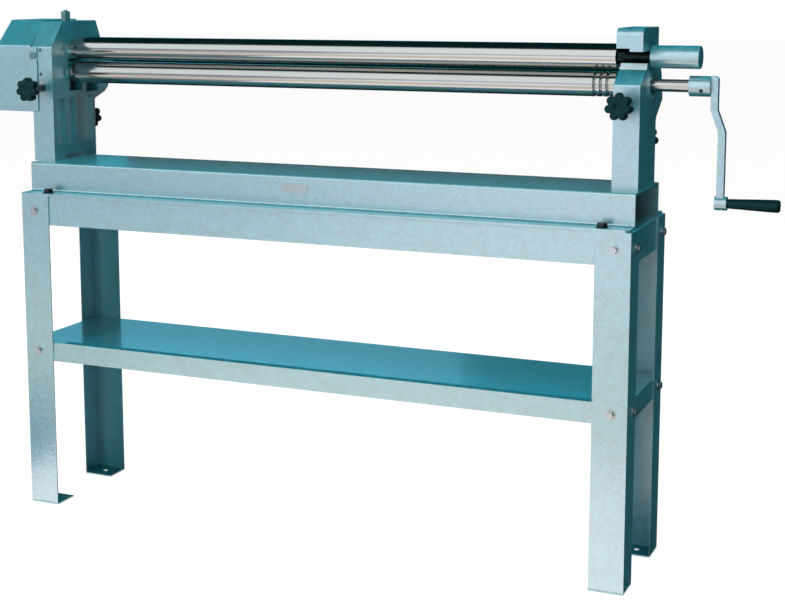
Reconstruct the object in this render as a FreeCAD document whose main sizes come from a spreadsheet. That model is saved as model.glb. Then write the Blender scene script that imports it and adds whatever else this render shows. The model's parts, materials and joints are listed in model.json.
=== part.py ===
"""Hand-cranked slip roll machine on a bolted sheet-steel stand.

Frame: X runs along the rolls (crank at +X), Y runs from the operator to the rear,
Z is up, and the origin is on the floor under the middle of the stand. Millimetres.
"""
import FreeCAD, Part
import math
import os
import Sketcher

SIZES = {
    # stand
    "stand_length": 1400, "bed_flange": 45, "stand_height": 720,
    "leg_face": 71, "leg_flange": 63, "leg_wall": 3, "foot_width": 72, "anchor_bore": 12,
    "tray_wall": 2.5, "apron_height": 66, "shelf_top": 384, "shelf_lip": 44,
    "bolt_from_end": 33, "bolt_under_rim": 34.5, "side_bolt_front": 47, "side_bolt_rear": 23,
    "stand_bolt": 8, "stand_bolt_flats": 13, "stand_bolt_head": 5.3, "stand_thread_end": 2,
    "stand_washer": 20, "washer_thick": 1.6, "washer_play": 0.4, "nut_share": 0.8,
    # bed
    "bed_height": 70, "bed_width": 194, "bed_wall": 5, "bed_corner": 8,
    "bed_overhang_left": 4, "bed_inset_right": 5, "bed_bolt_left": 62, "bed_bolt_right": 58,
    "bed_bolt_rear_right": 19, "bed_bolt_edge": 22, "bed_bolt": 12, "bed_bolt_flats": 18,
    "bed_bolt_head": 7.5, "bed_washer": 25, "bed_thread_end": 3, "bed_slot_length": 68,
    "bed_slot_width": 14, "bed_slot_left": 48, "bed_slot_back": 41,
    "plate_length": 58, "plate_height": 16, "plate_thick": 0.8, "plate_right": 3,
    "plate_drop": 18,
    # rolls
    "roll_diameter": 50, "roll_gap": 5.7, "roll_y": 23.3, "top_axis_height": 256,
    "left_roll_clearance": 10.7, "roll_clearance": 12, "roll_chamfer": 3,
    "bend_back": 62.7, "bend_drop": -2.47,
    "groove_depth": 3, "groove_first": 17.5, "groove_pitch": 13.3, "groove_width": 5.2,
    "crank_step": 2,
    # heads
    "left_head_width": 55, "right_head_width": 52.3, "left_overhang": 9, "right_inset": 4.3,
    "left_front": 69, "left_rear": 100, "right_front": 62, "right_rear": 74,
    "left_top": 317, "left_chamfer": 46, "left_chamfer_drop": 57, "saddle_top": 244,
    "brow_drop": 39, "ramp_back": 44, "ledge_back": 49, "ledge_drop": 12, "step_back": 53,
    "recess_depth": 12, "rib_width": 8, "rocker_play": 2,
    "slot_width": 54, "slot_floor_drop": 43.3, "head_web": 7, "head_bolt": 12,
    "head_bolt_flats": 18, "head_bolt_edge": 24, "head_bolt_depth": 28, "bolt_end_gap": 1,
    "cast_round": 5, "outer_wall": 4.5, "hinge_back": 47.7, "hinge_rise": 8,
    "hinge_round": 12, "lug_root": 4,
    # left head's rear outline, from the roll line and from the bending roll
    "left_back": 88.7, "left_lobe": 104.7, "left_lobe_drop": 35, "left_under": 74,
    "left_under_drop": 42.77, "left_tuck": 56, "left_tuck_drop": 55.77, "left_rear_drop": 69.27,
    # right head's rear outline, from the bending roll
    "right_lobe_front": -9, "right_lobe_back": 29, "right_lobe_rise": 18.23, "right_lobe": 43,
    "right_lobe_drop": 36.77, "right_tuck": 6, "right_tuck_drop": 67.77, "right_rear_drop": 73.77,
    # left head's inner face
    "bay_front": 55, "rib_front": 19, "rib_rear": 20, "bay_web": 10, "bay_low": 35,
    "bay_high": 141, "foot_front": 26, "foot_rear": 50, "foot_low": 3, "foot_high": 13,
    "spot_front": 17, "spot_radius": 11, "spot_depth": 3, "spot_top_drop": 1,
    "spot_low_drop": 2, "vent_in": 3.5, "vent_radius": 4, "vent_depth": 8, "vent_top_drop": 3,
    "vent_low_drop": 2, "window_front": 20, "window_rear": 30, "window_low": 51.77,
    "window_high": 19.23,
    # bearings and running clearances
    "running": 0.05, "face_gap": 0.3, "top_journal": 30, "top_right_journal": 32,
    "top_bush": 36, "pinch_journal": 26, "pinch_bush": 32, "bush_flange": 40,
    "bend_journal": 20, "bend_bush": 24, "bush_collar": 9.4,
    # clamp stud over the top bush
    "clamp_bolt": 10, "clamp_back": 6.7, "clamp_rise": 25, "clamp_gap": 1,
    "clamp_nut_flats": 20, "clamp_nut_height": 22,
    # front adjusters
    "screw_diameter": 12, "screw_drop": 33.3, "wedge_length": 28, "wedge_width": 17,
    "wedge_slope": 3, "wedge_top_wall": 5.5, "wedge_start": 2.4, "lift_travel": 5,
    "collar_diameter": 19, "collar_thick": 4, "stem_diameter": 17, "knob_diameter": 55,
    "knob_lobe": 8, "knob_thick": 22, "front_knob_reach": 56, "rear_knob_reach": 22,
    "rear_knob_thick": 18, "knob_core": 1, "front_cap": 6, "rear_cap": 5,
    "screw_end_gap": 1.3, "block_gap": 1, "block_in": 1.5,
    # rear adjusters
    "pivot_back": 21.7, "pivot_drop": 67.77, "fork_drop": 47, "pivot_pin": 14,
    "pivot_inset": 1, "rocker_inset": 2, "left_nut_gap": 3.5, "right_nut_gap": 2.15,
    "rocker_arm": 22, "rocker_boss": 7, "rocker_eye": 3, "fork_cheek": 0.5, "fork_pin": 10,
    "fork_lean": -2.56, "fork_head_share": 0.787, "fork_tail_share": 1.213,
    "arm_share": 0.35, "nut_length": 14, "nut_width": 18, "nut_side": 1.5, "nut_play": 0.5,
    "chamber_height": 20, "chamber_ahead": 19, "chamber_behind": 21, "pivot_seat": 10,
    "rear_screw_gap": 2, "rear_collar_play": 0.5,
    # drive
    "gear_root": 39, "gear_tip": 61.4, "gear_width": 34, "gear_start": 22, "tooth_base": 6.4,
    "tooth_tip": 2.2, "tooth_root": 1, "gear_bore": 22, "gear_bolt": 20, "key_size": 6,
    "key_length": 26, "gear_nut_flats": 30, "gear_nut_thick": 11, "gear_thread": 15,
    # gear cover
    "cover_depth": 91, "cover_wall": 3, "cover_bottom": 113, "cover_rear": 30,
    "cover_end_gap": 2, "cover_stem_gap": 3, "cover_lip_lap": 1,
    "cover_slope": 58, "cover_slope_share": 0.4,
    "cover_rear_flat": 18, "cover_rear_drop": 36, "cover_screw": 6, "cover_screw_in": 6.5,
    "cover_screw_height": 241, "cover_screw_head": 16, "cover_screw_thick": 4,
    "cover_screw_length": 18, "cover_stud": 10, "stud_back": 56.7, "stud_rise": 14,
    "stud_depth": 20, "stud_end": 14, "stud_nut_flats": 17, "stud_nut_height": 8,
    # latch
    "latch_front": 70, "latch_top": 313, "latch_under": 274, "latch_brow": 14,
    "latch_pin": 12, "latch_lug": 20, "latch_step": 6, "latch_clear": 1,
    # sleeve and crank
    "sleeve_gap": 1.3, "sleeve_length": 96, "sleeve_diameter": 45, "sleeve_cap": 11,
    "sleeve_end_gap": 1, "sleeve_step": 2, "crank_shaft": 24.5, "shaft_reach": 77.5,
    "shaft_recess": 6, "shaft_end_gap": 1, "hub_diameter": 40, "hub_length": 41.4, "arm_thick": 14,
    "arm_width": 15, "arm_offset": 16, "arm_brow": 5, "arm_straight": 45, "arm_knee": 88,
    "arm_foot": 8, "throw": 227, "grip_boss": 27, "grip_boss_length": 23.5, "boss_back": 3,
    "grip_gap": 0.5, "grip_length": 100, "grip_small": 19, "grip_large": 25, "grip_pin": 10,
    "grip_recess": 5, "grip_head": 3, "grip_head_play": 0.2, "grip_pin_gap": 0.3,
    "grip_pin_sunk": 1, "set_screw": 8, "set_screw_in": 24.4, "set_screw_side": 8,
    "set_screw_top": 17, "set_screw_gap": 0.4,
    # cap over the crank shaft's bearing
    "cap_diameter": 64, "cap_thick": 5, "cap_bore": 36, "cap_screw": 6, "cap_screw_edge": 7,
    "cap_screw_head": 10, "cap_screw_thick": 4, "cap_screw_gap": 0.5,
}


class Size:
    """A length that carries both its number and the sheet expression it comes from."""

    def __init__(self, value, text):
        self.value = value
        self.text = text

    def __add__(self, other):
        other = size_of(other)
        return Size(self.value + other.value, f"({self.text} + {other.text})")

    def __sub__(self, other):
        other = size_of(other)
        return Size(self.value - other.value, f"({self.text} - {other.text})")

    def __mul__(self, other):
        other = size_of(other)
        return Size(self.value * other.value, f"({self.text} * {other.text})")

    def __truediv__(self, other):
        other = size_of(other)
        return Size(self.value / other.value, f"({self.text} / {other.text})")

    def __neg__(self):
        return Size(-self.value, f"(-1 * {self.text})")

    __radd__ = __add__
    __rmul__ = __mul__

    def __rsub__(self, other):
        return size_of(other) - self


def size_of(value):
    """Turn a plain number into a Size, and leave a Size as it is."""
    return value if isinstance(value, Size) else Size(float(value), f"{float(value):.6f}")


doc = FreeCAD.newDocument("slip_roll")
sheet = doc.addObject("Spreadsheet::Sheet", "sizes")
for row, (alias, number) in enumerate(SIZES.items(), start=1):
    sheet.set(f"A{row}", alias)
    sheet.set(f"B{row}", str(number))
    sheet.setAlias(f"B{row}", alias)
doc.recompute()


class Sheet:
    """Each alias of the sheet as an attribute that is a Size."""

    def __getattr__(self, alias):
        return Size(float(sheet.get(alias)), f"sizes.{alias}")


d = Sheet()
ZERO = size_of(0)
PLANES = {"XY": "XY_Plane", "XZ": "XZ_Plane", "YZ": "YZ_Plane"}
AXES = {"X": "X_Axis", "Y": "Y_Axis", "Z": "Z_Axis"}
nodes = []


# ---------------------------------------------------------------- drawing helpers
def origin_part(body, role):
    """The body's own origin plane or axis with this role."""
    return next(f for f in body.Origin.OriginFeatures if f.Role == role)


def new_body(label, at=(ZERO, ZERO, ZERO)):
    """An empty body, placed by sizes of the sheet."""
    body = doc.addObject("PartDesign::Body", label)
    body.Label = label
    for axis, place in zip("xyz", at):
        if place is not ZERO:
            body.setExpression(f"Placement.Base.{axis}", place.text)
    nodes.append(body)
    return body


def rect(low_a, high_a, low_b, high_b):
    """A rectangle in sketch axes a and b."""
    corners = [(low_a, low_b), (high_a, low_b), (high_a, high_b), (low_a, high_b)]
    return ("poly", corners)


def poly(*points):
    """A closed outline of straight runs."""
    return ("poly", list(points))


def ring(centre_a, centre_b, radius):
    """A circle."""
    return ("ring", (centre_a, centre_b, radius))


def fix(sketch, kind, *where_and_size):
    """Add a driving constraint whose value is bound to the sheet."""
    *where, length = where_and_size
    length = size_of(length)
    index = sketch.addConstraint(Sketcher.Constraint(kind, *where, length.value))
    sketch.setExpression(f"Constraints[{index}]", length.text)


def draw(sketch, loop):
    """Draw one loop and fix every point of it by its two distances from the origin."""
    kind, data = loop
    if kind == "ring":
        a, b, radius = (size_of(v) for v in data)
        centre = FreeCAD.Vector(a.value, b.value, 0)
        normal = FreeCAD.Vector(0, 0, 1)
        circle = sketch.addGeometry(Part.Circle(centre, normal, radius.value))
        fix(sketch, "DistanceX", -1, 1, circle, 3, a)
        fix(sketch, "DistanceY", -1, 1, circle, 3, b)
        fix(sketch, "Radius", circle, radius)
        return
    points = [(size_of(a), size_of(b)) for a, b in data]
    places = [FreeCAD.Vector(a.value, b.value, 0) for a, b in points]
    lines = []
    for start, end in zip(places, places[1:] + places[:1]):
        lines.append(sketch.addGeometry(Part.LineSegment(start, end)))
    for line, following in zip(lines, lines[1:] + lines[:1]):
        sketch.addConstraint(Sketcher.Constraint("Coincident", line, 2, following, 1))
    for line, (a, b) in zip(lines, points):
        fix(sketch, "DistanceX", -1, 1, line, 1, a)
        fix(sketch, "DistanceY", -1, 1, line, 1, b)


def sketch_on(body, plane, offset, loops):
    """A sketch on one of the body's own planes, moved along its normal."""
    sketch = body.newObject("Sketcher::SketchObject", "outline")
    sketch.AttachmentSupport = [(origin_part(body, PLANES[plane]), "")]
    sketch.MapMode = "FlatFace"
    sketch.setExpression("AttachmentOffset.Base.z", size_of(offset).text)
    for loop in loops:
        draw(sketch, loop)
    return sketch


def extrude(body, feature_type, plane, low, high, loops):
    """Pad or pocket the loops from low to high along the plane's own row axis."""
    low = size_of(low)
    high = size_of(high)
    offset = -high if plane == "XZ" else low
    sketch = sketch_on(body, plane, offset, loops)
    feature = body.newObject(feature_type, "extrusion")
    feature.Profile = sketch
    feature.setExpression("Length", (high - low).text)
    feature.Reversed = feature_type == "PartDesign::Pocket"
    body.Tip = feature
    return feature


def add(body, plane, low, high, *loops):
    return extrude(body, "PartDesign::Pad", plane, low, high, loops)


def cut(body, plane, low, high, *loops):
    return extrude(body, "PartDesign::Pocket", plane, low, high, loops)


def around(body, feature, axis, count):
    """Repeat a feature evenly about one of the body's own axes."""
    pattern = body.newObject("PartDesign::PolarPattern", "pattern")
    pattern.Originals = [feature]
    pattern.Axis = (origin_part(body, AXES[axis]), [""])
    pattern.Angle = 360
    pattern.Occurrences = count
    body.Tip = pattern


def round_edges(body, axis, radius, places):
    """Fillet the straight edges along an axis that pass through the given places."""
    doc.recompute()
    across = {"X": ("y", "z"), "Y": ("x", "z"), "Z": ("x", "y")}[axis]
    offset = body.Placement.Base
    names = []
    for number, edge in enumerate(body.Shape.Edges, start=1):
        ends = [vertex.Point - offset for vertex in edge.Vertexes]
        if len(ends) != 2:
            continue
        for a, b in places:
            goal = (size_of(a).value, size_of(b).value)
            gaps = [abs(getattr(end, across[i]) - goal[i]) for end in ends for i in (0, 1)]
            if max(gaps) < 0.01 and f"Edge{number}" not in names:
                names.append(f"Edge{number}")
    base = body.Tip
    fillet = body.newObject("PartDesign::Fillet", "rounding")
    fillet.Base = (base, names)
    fillet.setExpression("Radius", size_of(radius).text)
    body.Tip = fillet


def turned(label, at, points, axis="X"):
    """A body turned about its own axis from a half outline of (along, radius) points."""
    body = new_body(label, at)
    plane = {"X": "XY", "Y": "XY", "Z": "XZ"}[axis]
    if axis == "X":
        outline = [(a, r) for a, r in points]
    else:
        outline = [(r, a) for a, r in points]
    sketch = sketch_on(body, plane, ZERO, [poly(*outline)])
    feature = body.newObject("PartDesign::Revolution", "turning")
    feature.Profile = sketch
    feature.ReferenceAxis = (origin_part(body, AXES[axis]), [""])
    feature.Angle = 360
    body.Tip = feature
    return body


def sleeve_points(start, end, bore, outside):
    """The half outline of a plain tube."""
    return [(start, bore), (end, bore), (end, outside), (start, outside)]


def group(label, solids):
    """Identical fasteners in one node, each a solid of its own."""
    feature = doc.addObject("Part::Feature", label)
    feature.Label = label
    feature.Shape = Part.makeCompound(solids)
    feature.Placement = FreeCAD.Placement()
    nodes.append(feature)


def vec(x, y, z):
    return FreeCAD.Vector(*(size_of(v).value for v in (x, y, z)))


def rod(at, direction, diameter, length, bore=0):
    """A plain cylinder or tube for the fastener groups."""
    solid = Part.makeCylinder(size_of(diameter).value / 2, size_of(length).value, at, direction)
    if size_of(bore).value > 0:
        hole = Part.makeCylinder(size_of(bore).value / 2, size_of(length).value, at, direction)
        solid = solid.cut(hole)
    return solid


def hexagon(at, direction, flats, length, bore=0):
    """A hexagon prism across the given flats."""
    radius = size_of(flats).value / math.sqrt(3)
    turn = FreeCAD.Rotation(FreeCAD.Vector(0, 0, 1), direction)
    corners = []
    for step in range(7):
        angle = math.radians(60 * step)
        spoke = FreeCAD.Vector(radius * math.cos(angle), radius * math.sin(angle), 0)
        corners.append(at + turn.multVec(spoke))
    prism = Part.Face(Part.makePolygon(corners)).extrude(direction * size_of(length).value)
    if size_of(bore).value > 0:
        hole = Part.makeCylinder(size_of(bore).value / 2, size_of(length).value, at, direction)
        prism = prism.cut(hole)
    return prism


def bolt(seat, direction, shank, flats, head, grip, washer):
    """A hexagon bolt whose washer lies on the seat; its shank runs along direction."""
    lift = direction * d.washer_thick.value
    face = seat - lift
    body = hexagon(face - direction * size_of(head).value, direction, flats, head)
    body = body.fuse(rod(face, direction, shank, size_of(grip) + d.washer_thick))
    plate = rod(face, direction, washer, d.washer_thick, size_of(shank) + d.washer_play)
    return [body.removeSplitter(), plate]


# ---------------------------------------------------------------- shared places
end_x = d.stand_length / 2
half_bed = d.bed_width / 2
rear_y = half_bed + d.bed_flange
front_y = -rear_y
bed_top = d.stand_height + d.bed_height
bed_left = -end_x - d.bed_overhang_left
bed_right = end_x - d.bed_inset_right
left_in = bed_left - d.left_overhang + d.left_head_width
left_out = left_in - d.left_head_width
right_out = bed_right - d.right_inset
right_in = right_out - d.right_head_width
roll_left = left_in + d.left_roll_clearance
roll_right = right_in - d.roll_clearance
top_z = bed_top + d.top_axis_height
pinch_z = top_z - d.roll_diameter - d.roll_gap
bend_z = pinch_z - d.bend_drop
bend_y = d.roll_y + d.bend_back
pivot_y = d.roll_y + d.pivot_back
pivot_z = bend_z - d.pivot_drop
fork_z = pivot_z - d.fork_drop
fork_y = pivot_y - d.fork_lean
screw_z = pinch_z - d.screw_drop
slot_front = d.roll_y - d.slot_width / 2
slot_rear = d.roll_y + d.slot_width / 2
slot_floor = pinch_z - d.slot_floor_drop
slot_top = top_z - d.top_bush / 2 - d.head_web
X_AXIS = FreeCAD.Vector(1, 0, 0)
Y_AXIS = FreeCAD.Vector(0, 1, 0)
Z_AXIS = FreeCAD.Vector(0, 0, 1)


# ---------------------------------------------------------------- stand
def leg(label, side, row):
    """An L-section leg with its foot plate; side and row are -1 or +1."""
    x = end_x * side
    y = rear_y * row
    body = new_body(label)
    inner_x = x - d.leg_wall * side
    inner_y = y - d.leg_wall * row
    face_x = x - d.leg_face * side
    flange_y = y - d.leg_flange * row
    section = poly((x, y), (face_x, y), (face_x, inner_y), (inner_x, inner_y),
                   (inner_x, flange_y), (x, flange_y))
    add(body, "XY", ZERO, d.stand_height, section)
    foot_x = x - d.foot_width * side
    add(body, "XY", ZERO, d.leg_wall,
        poly((x, y), (foot_x, y), (foot_x, flange_y), (x, flange_y)))
    anchor_x = x - d.foot_width / 2 * side
    anchor_y = y - d.leg_flange / 2 * row
    cut(body, "XY", ZERO, d.leg_wall, ring(anchor_x, anchor_y, d.anchor_bore / 2))
    hole = d.stand_bolt / 2 + d.face_gap
    bolt_x = x - d.bolt_from_end * side
    low_y, high_y = (y, inner_y) if row < 0 else (inner_y, y)
    cut(body, "XZ", low_y, high_y, ring(bolt_x, rim_bolt_z, hole), ring(bolt_x, shelf_bolt_z, hole))
    low_x, high_x = (x, inner_x) if side < 0 else (inner_x, x)
    bolt_y = side_bolt_y(row)
    cut(body, "YZ", low_x, high_x, ring(bolt_y, rim_bolt_z, hole), ring(bolt_y, shelf_bolt_z, hole))


def side_bolt_y(row):
    """Where the bolts in the end flanges sit: front legs -1, rear legs +1."""
    return front_y + d.side_bolt_front if row < 0 else rear_y - d.side_bolt_rear


def tray(label, top, depth, bolt_z):
    """A sheet folded down on its four sides, bolted inside the legs."""
    body = new_body(label)
    out_x = end_x - d.leg_wall
    out_y = rear_y - d.leg_wall
    in_x = out_x - d.tray_wall
    in_y = out_y - d.tray_wall
    add(body, "XY", top - depth, top, rect(-out_x, out_x, -out_y, out_y))
    cut(body, "XY", top - depth, top - d.tray_wall, rect(-in_x, in_x, -in_y, in_y))
    hole = d.stand_bolt / 2 + d.face_gap
    bolt_x = end_x - d.bolt_from_end
    rings = [ring(bolt_x * side, bolt_z, hole) for side in (-1, 1)]
    cut(body, "XZ", -out_y, out_y, *rings)
    rings = [ring(side_bolt_y(row), bolt_z, hole) for row in (-1, 1)]
    cut(body, "YZ", -out_x, out_x, *rings)
    return body


rim_bolt_z = d.stand_height - d.bolt_under_rim
shelf_bolt_z = d.shelf_top - d.shelf_lip / 2
for row, row_name in ((-1, "front"), (1, "back")):
    for side, side_name in ((-1, "left"), (1, "right")):
        leg(f"leg_{row_name}_{side_name}", side, row)

bed_bolt_places = [
    (bed_left + d.bed_bolt_left, front_y + d.bed_bolt_edge),
    (bed_right - d.bed_bolt_right, front_y + d.bed_bolt_edge),
    (bed_left + d.bed_bolt_left, rear_y - d.bed_bolt_edge),
    (bed_right - d.bed_bolt_rear_right, rear_y - d.bed_bolt_edge),
]
bed_bolt_holes = [ring(x, y, d.bed_bolt / 2 + d.face_gap) for x, y in bed_bolt_places]
stand_top = tray("stand_top", d.stand_height, d.apron_height, rim_bolt_z)
cut(stand_top, "XY", d.stand_height - d.tray_wall, d.stand_height, *bed_bolt_holes)
tray("shelf", d.shelf_top, d.shelf_lip, shelf_bolt_z)

stand_bolt_parts = []
stand_nut_parts = []
stand_seats = []
for z in (rim_bolt_z, shelf_bolt_z):
    for side in (-1, 1):
        bolt_x = (end_x - d.bolt_from_end) * side
        stand_seats.append((vec(bolt_x, front_y, z), Y_AXIS))
        stand_seats.append((vec(bolt_x, rear_y, z), -Y_AXIS))
        for row in (-1, 1):
            stand_seats.append((vec(end_x * side, side_bolt_y(row), z), -X_AXIS * side))
for seat, direction in stand_seats:
    grip = d.leg_wall + d.tray_wall
    nut_height = d.stand_bolt * d.nut_share
    stand_bolt_parts += bolt(seat, direction, d.stand_bolt, d.stand_bolt_flats,
                             d.stand_bolt_head, grip + nut_height + d.stand_thread_end,
                             d.stand_washer)
    nut_seat = seat + direction * grip.value
    stand_nut_parts.append(hexagon(nut_seat, direction, d.stand_bolt_flats, nut_height,
                                   d.stand_bolt + 2 * d.running))
group("stand_bolts", stand_bolt_parts)
group("stand_nuts", stand_nut_parts)

# ---------------------------------------------------------------- bed
flange_top = d.stand_height + d.bed_wall
bed = new_body("bed")
add(bed, "YZ", bed_left, bed_right, poly(
    (front_y, d.stand_height), (-half_bed + d.bed_wall, d.stand_height),
    (-half_bed + d.bed_wall, bed_top - d.bed_wall), (half_bed - d.bed_wall, bed_top - d.bed_wall),
    (half_bed - d.bed_wall, d.stand_height), (rear_y, d.stand_height),
    (rear_y, flange_top), (half_bed, flange_top), (half_bed, bed_top),
    (-half_bed, bed_top), (-half_bed, flange_top), (front_y, flange_top)))
round_edges(bed, "X", d.bed_wall, [(-half_bed, bed_top), (half_bed, bed_top),
                                   (-half_bed, flange_top), (half_bed, flange_top)])
round_edges(bed, "Z", d.bed_corner, [(x, y) for x in (bed_left, bed_right)
                                     for y in (front_y, rear_y)])
cut(bed, "XY", d.stand_height, flange_top, *bed_bolt_holes)


def head_bolt_places(centre_x, front, rear):
    """The two base bolts of a head, on its centre line."""
    return [(centre_x, front + d.head_bolt_edge), (centre_x, rear - d.head_bolt_edge)]


left_x = (left_out + left_in) / 2
right_x = (right_out + right_in) / 2
base_bolts = head_bolt_places(left_x, -d.left_front, d.left_rear)
base_bolts += head_bolt_places(right_x, -d.right_front, d.right_rear)
cut(bed, "XY", bed_top - d.bed_wall, bed_top,
    *[ring(x, y, d.head_bolt / 2 + d.face_gap) for x, y in base_bolts])
slot_x = -d.bed_slot_left
cut(bed, "XY", bed_top - d.bed_wall, bed_top, rect(
    slot_x - d.bed_slot_length / 2, slot_x + d.bed_slot_length / 2,
    d.bed_slot_back - d.bed_slot_width / 2, d.bed_slot_back + d.bed_slot_width / 2))

bed_bolt_parts = []
bed_nut_parts = []
for x, y in bed_bolt_places:
    grip = d.bed_wall + d.tray_wall
    nut_height = d.bed_bolt * d.nut_share
    bed_bolt_parts += bolt(vec(x, y, flange_top), -Z_AXIS, d.bed_bolt, d.bed_bolt_flats,
                           d.bed_bolt_head, grip + nut_height + d.bed_thread_end,
                           d.bed_washer)
    bed_nut_parts.append(hexagon(vec(x, y, flange_top - grip), -Z_AXIS, d.bed_bolt_flats,
                                 nut_height, d.bed_bolt + 2 * d.running))
group("bed_bolts", bed_bolt_parts)
group("bed_nuts", bed_nut_parts)

head_bolt_parts = []
for x, y in base_bolts:
    head_bolt_parts += bolt(vec(x, y, bed_top - d.bed_wall), Z_AXIS, d.head_bolt,
                            d.head_bolt_flats, d.bed_bolt_head, d.bed_wall + d.head_bolt_depth,
                            d.bed_washer)
group("head_bolts", head_bolt_parts)

plate = new_body("blank_plate")
plate_low = bed_top - d.plate_drop - d.plate_height
add(plate, "XZ", -half_bed - d.plate_thick, -half_bed, rect(
    -d.plate_right - d.plate_length, -d.plate_right, plate_low, plate_low + d.plate_height))

# ---------------------------------------------------------------- heads
# Outline that a rocker sweeps between its stops, from its pivot in Y and Z.
SWING = [(-23, -63), (21, -63), (23, -20), (35, 5), (63, 37), (72, 50), (72, 60),
         (64, 72), (53, 82), (42, 88), (22, 88), (13, 80), (-16, 8), (-18, -20)]
chamber_front = pivot_y - d.chamber_ahead
chamber_rear = pivot_y + d.chamber_behind


def rocker_thick(side):
    """What is left for a rocker between a head's outer face and its nut."""
    half_head = d.left_head_width / 2 if side == "left" else d.right_head_width / 2
    gap = d.left_nut_gap if side == "left" else d.right_nut_gap
    return half_head - d.nut_width / 2 - gap - d.rocker_inset


def pocket_depth(side):
    """How deep the rocker's pocket goes into a head."""
    return d.rocker_inset + rocker_thick(side) + d.rocker_play


def hollow_head(head, side, out, centre, front, rear, far):
    """The pockets both heads share: slot, rocker pocket, nut chamber, screw and bolt holes."""
    bore = d.screw_diameter / 2 + d.running
    cut(head, "YZ", out, far, rect(slot_front, slot_rear, slot_floor, slot_top))
    swing = [(pivot_y + a, pivot_z + b) for a, b in SWING]
    cut(head, "YZ", out, out + pocket_depth(side), poly(*swing))
    half = d.chamber_height / 2
    cut(head, "YZ", out, centre + d.nut_width / 2 + d.nut_side,
        rect(chamber_front, chamber_rear, fork_z - half, fork_z + half))
    cut(head, "YZ", out, centre + d.pivot_seat, ring(pivot_y, pivot_z, d.pivot_pin / 2))
    cut(head, "XZ", -front, slot_front, ring(centre, screw_z, bore))
    cut(head, "XZ", chamber_rear, rear, ring(centre, fork_z, bore))
    holes = [ring(x, y, d.head_bolt / 2 + d.running)
             for x, y in head_bolt_places(centre, -front, rear)]
    cut(head, "XY", bed_top, bed_top + d.head_bolt_depth + d.bolt_end_gap, *holes)


left_head = new_body("left_head")
left_top_z = bed_top + d.left_top
left_corners = [
    (-d.left_front, left_top_z - d.left_chamfer_drop),
    (-d.left_front + d.left_chamfer, left_top_z), (d.roll_y + d.left_back, left_top_z),
    (d.roll_y + d.left_lobe, left_top_z - d.left_lobe_drop),
    (bend_y + d.left_under, bend_z - d.left_under_drop),
    (bend_y + d.left_tuck, bend_z - d.left_tuck_drop),
    (d.left_rear, bend_z - d.left_rear_drop)]
add(left_head, "YZ", left_out, left_in, poly(
    (-d.left_front, bed_top), *left_corners, (d.left_rear, bed_top)))
round_edges(left_head, "X", d.cast_round, left_corners)
hollow_head(left_head, "left", left_out, left_x, d.left_front, d.left_rear, left_in)
cut(left_head, "YZ", left_out, left_in, ring(d.roll_y, top_z, d.top_bush / 2))
cut(left_head, "YZ", left_out + pocket_depth("left"), left_in, rect(
    bend_y - d.window_front, bend_y + d.window_rear,
    bend_z - d.window_low, bend_z + d.window_high))
recess_x = left_in - d.recess_depth
rib = d.rib_width / 2
bays = [(-d.bay_front, -d.rib_front - rib), (-d.rib_front + rib, d.rib_rear - rib),
        (d.rib_rear + rib, d.left_rear - d.bay_web)]
cut(left_head, "YZ", recess_x, left_in,
    *[rect(a, b, bed_top + d.bay_low, bed_top + d.bay_high) for a, b in bays])
cut(left_head, "YZ", recess_x, left_in, rect(
    -d.foot_front, d.foot_rear, bed_top + d.foot_low, bed_top + d.foot_high))
cut(left_head, "YZ", left_in - d.spot_depth, left_in,
    ring(-d.spot_front, top_z - d.spot_top_drop, d.spot_radius),
    ring(-d.spot_front, pinch_z - d.spot_low_drop, d.spot_radius))
vent_x = left_x - d.vent_in
cut(left_head, "XZ", -d.left_front, -d.left_front + d.vent_depth,
    ring(vent_x, top_z - d.vent_top_drop, d.vent_radius),
    ring(vent_x, pinch_z - d.vent_low_drop, d.vent_radius))
clamp_y = d.roll_y + d.clamp_back
cut(left_head, "XY", top_z + d.top_bush / 2 - d.clamp_gap, left_top_z,
    ring(left_x, clamp_y, d.clamp_bolt / 2 + d.running))
cover_screw_x = left_out + d.cover_screw_in
cover_screw_z = bed_top + d.cover_screw_height
stud_y = d.roll_y + d.stud_back
stud_z = top_z + d.stud_rise
cut(left_head, "XZ", -d.left_front, -d.left_front + d.cover_screw_length,
    ring(cover_screw_x, cover_screw_z, d.cover_screw / 2 + d.running))
cut(left_head, "YZ", left_out, left_out + d.stud_depth,
    ring(stud_y, stud_z, d.cover_stud / 2 + d.running))

right_head = new_body("right_head")
saddle_z = bed_top + d.saddle_top
hinge_y = d.roll_y + d.hinge_back
hinge_z = top_z + d.hinge_rise
lug_half = d.latch_lug / 2
ramp_corners = [
    (-d.right_front, saddle_z - d.brow_drop),
    (-d.right_front + d.ramp_back, saddle_z - d.ledge_drop),
    (-d.right_front + d.ledge_back, saddle_z - d.ledge_drop),
    (-d.right_front + d.step_back, saddle_z)]
right_corners = [
    (bend_y - d.right_lobe_front, saddle_z),
    (bend_y + d.right_lobe_back, bend_z + d.right_lobe_rise),
    (bend_y + d.right_lobe, bend_z - d.right_lobe_drop)]
add(right_head, "YZ", right_in, right_out, poly(
    (-d.right_front, bed_top), *ramp_corners, *right_corners,
    (bend_y - d.right_tuck, bend_z - d.right_tuck_drop),
    (d.right_rear, bend_z - d.right_rear_drop), (d.right_rear, bed_top)))
round_edges(right_head, "X", d.cast_round, ramp_corners[:2])
round_edges(right_head, "X", d.cast_round, right_corners)
add(right_head, "YZ", right_x - lug_half, right_x + lug_half, rect(
    hinge_y - d.hinge_round, hinge_y + d.hinge_round, saddle_z - d.lug_root, hinge_z))
add(right_head, "YZ", right_x - lug_half, right_x + lug_half, ring(hinge_y, hinge_z, d.hinge_round))
slot_end = right_out - d.outer_wall
hollow_head(right_head, "right", right_in, right_x, d.right_front, d.right_rear, slot_end)
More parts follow.
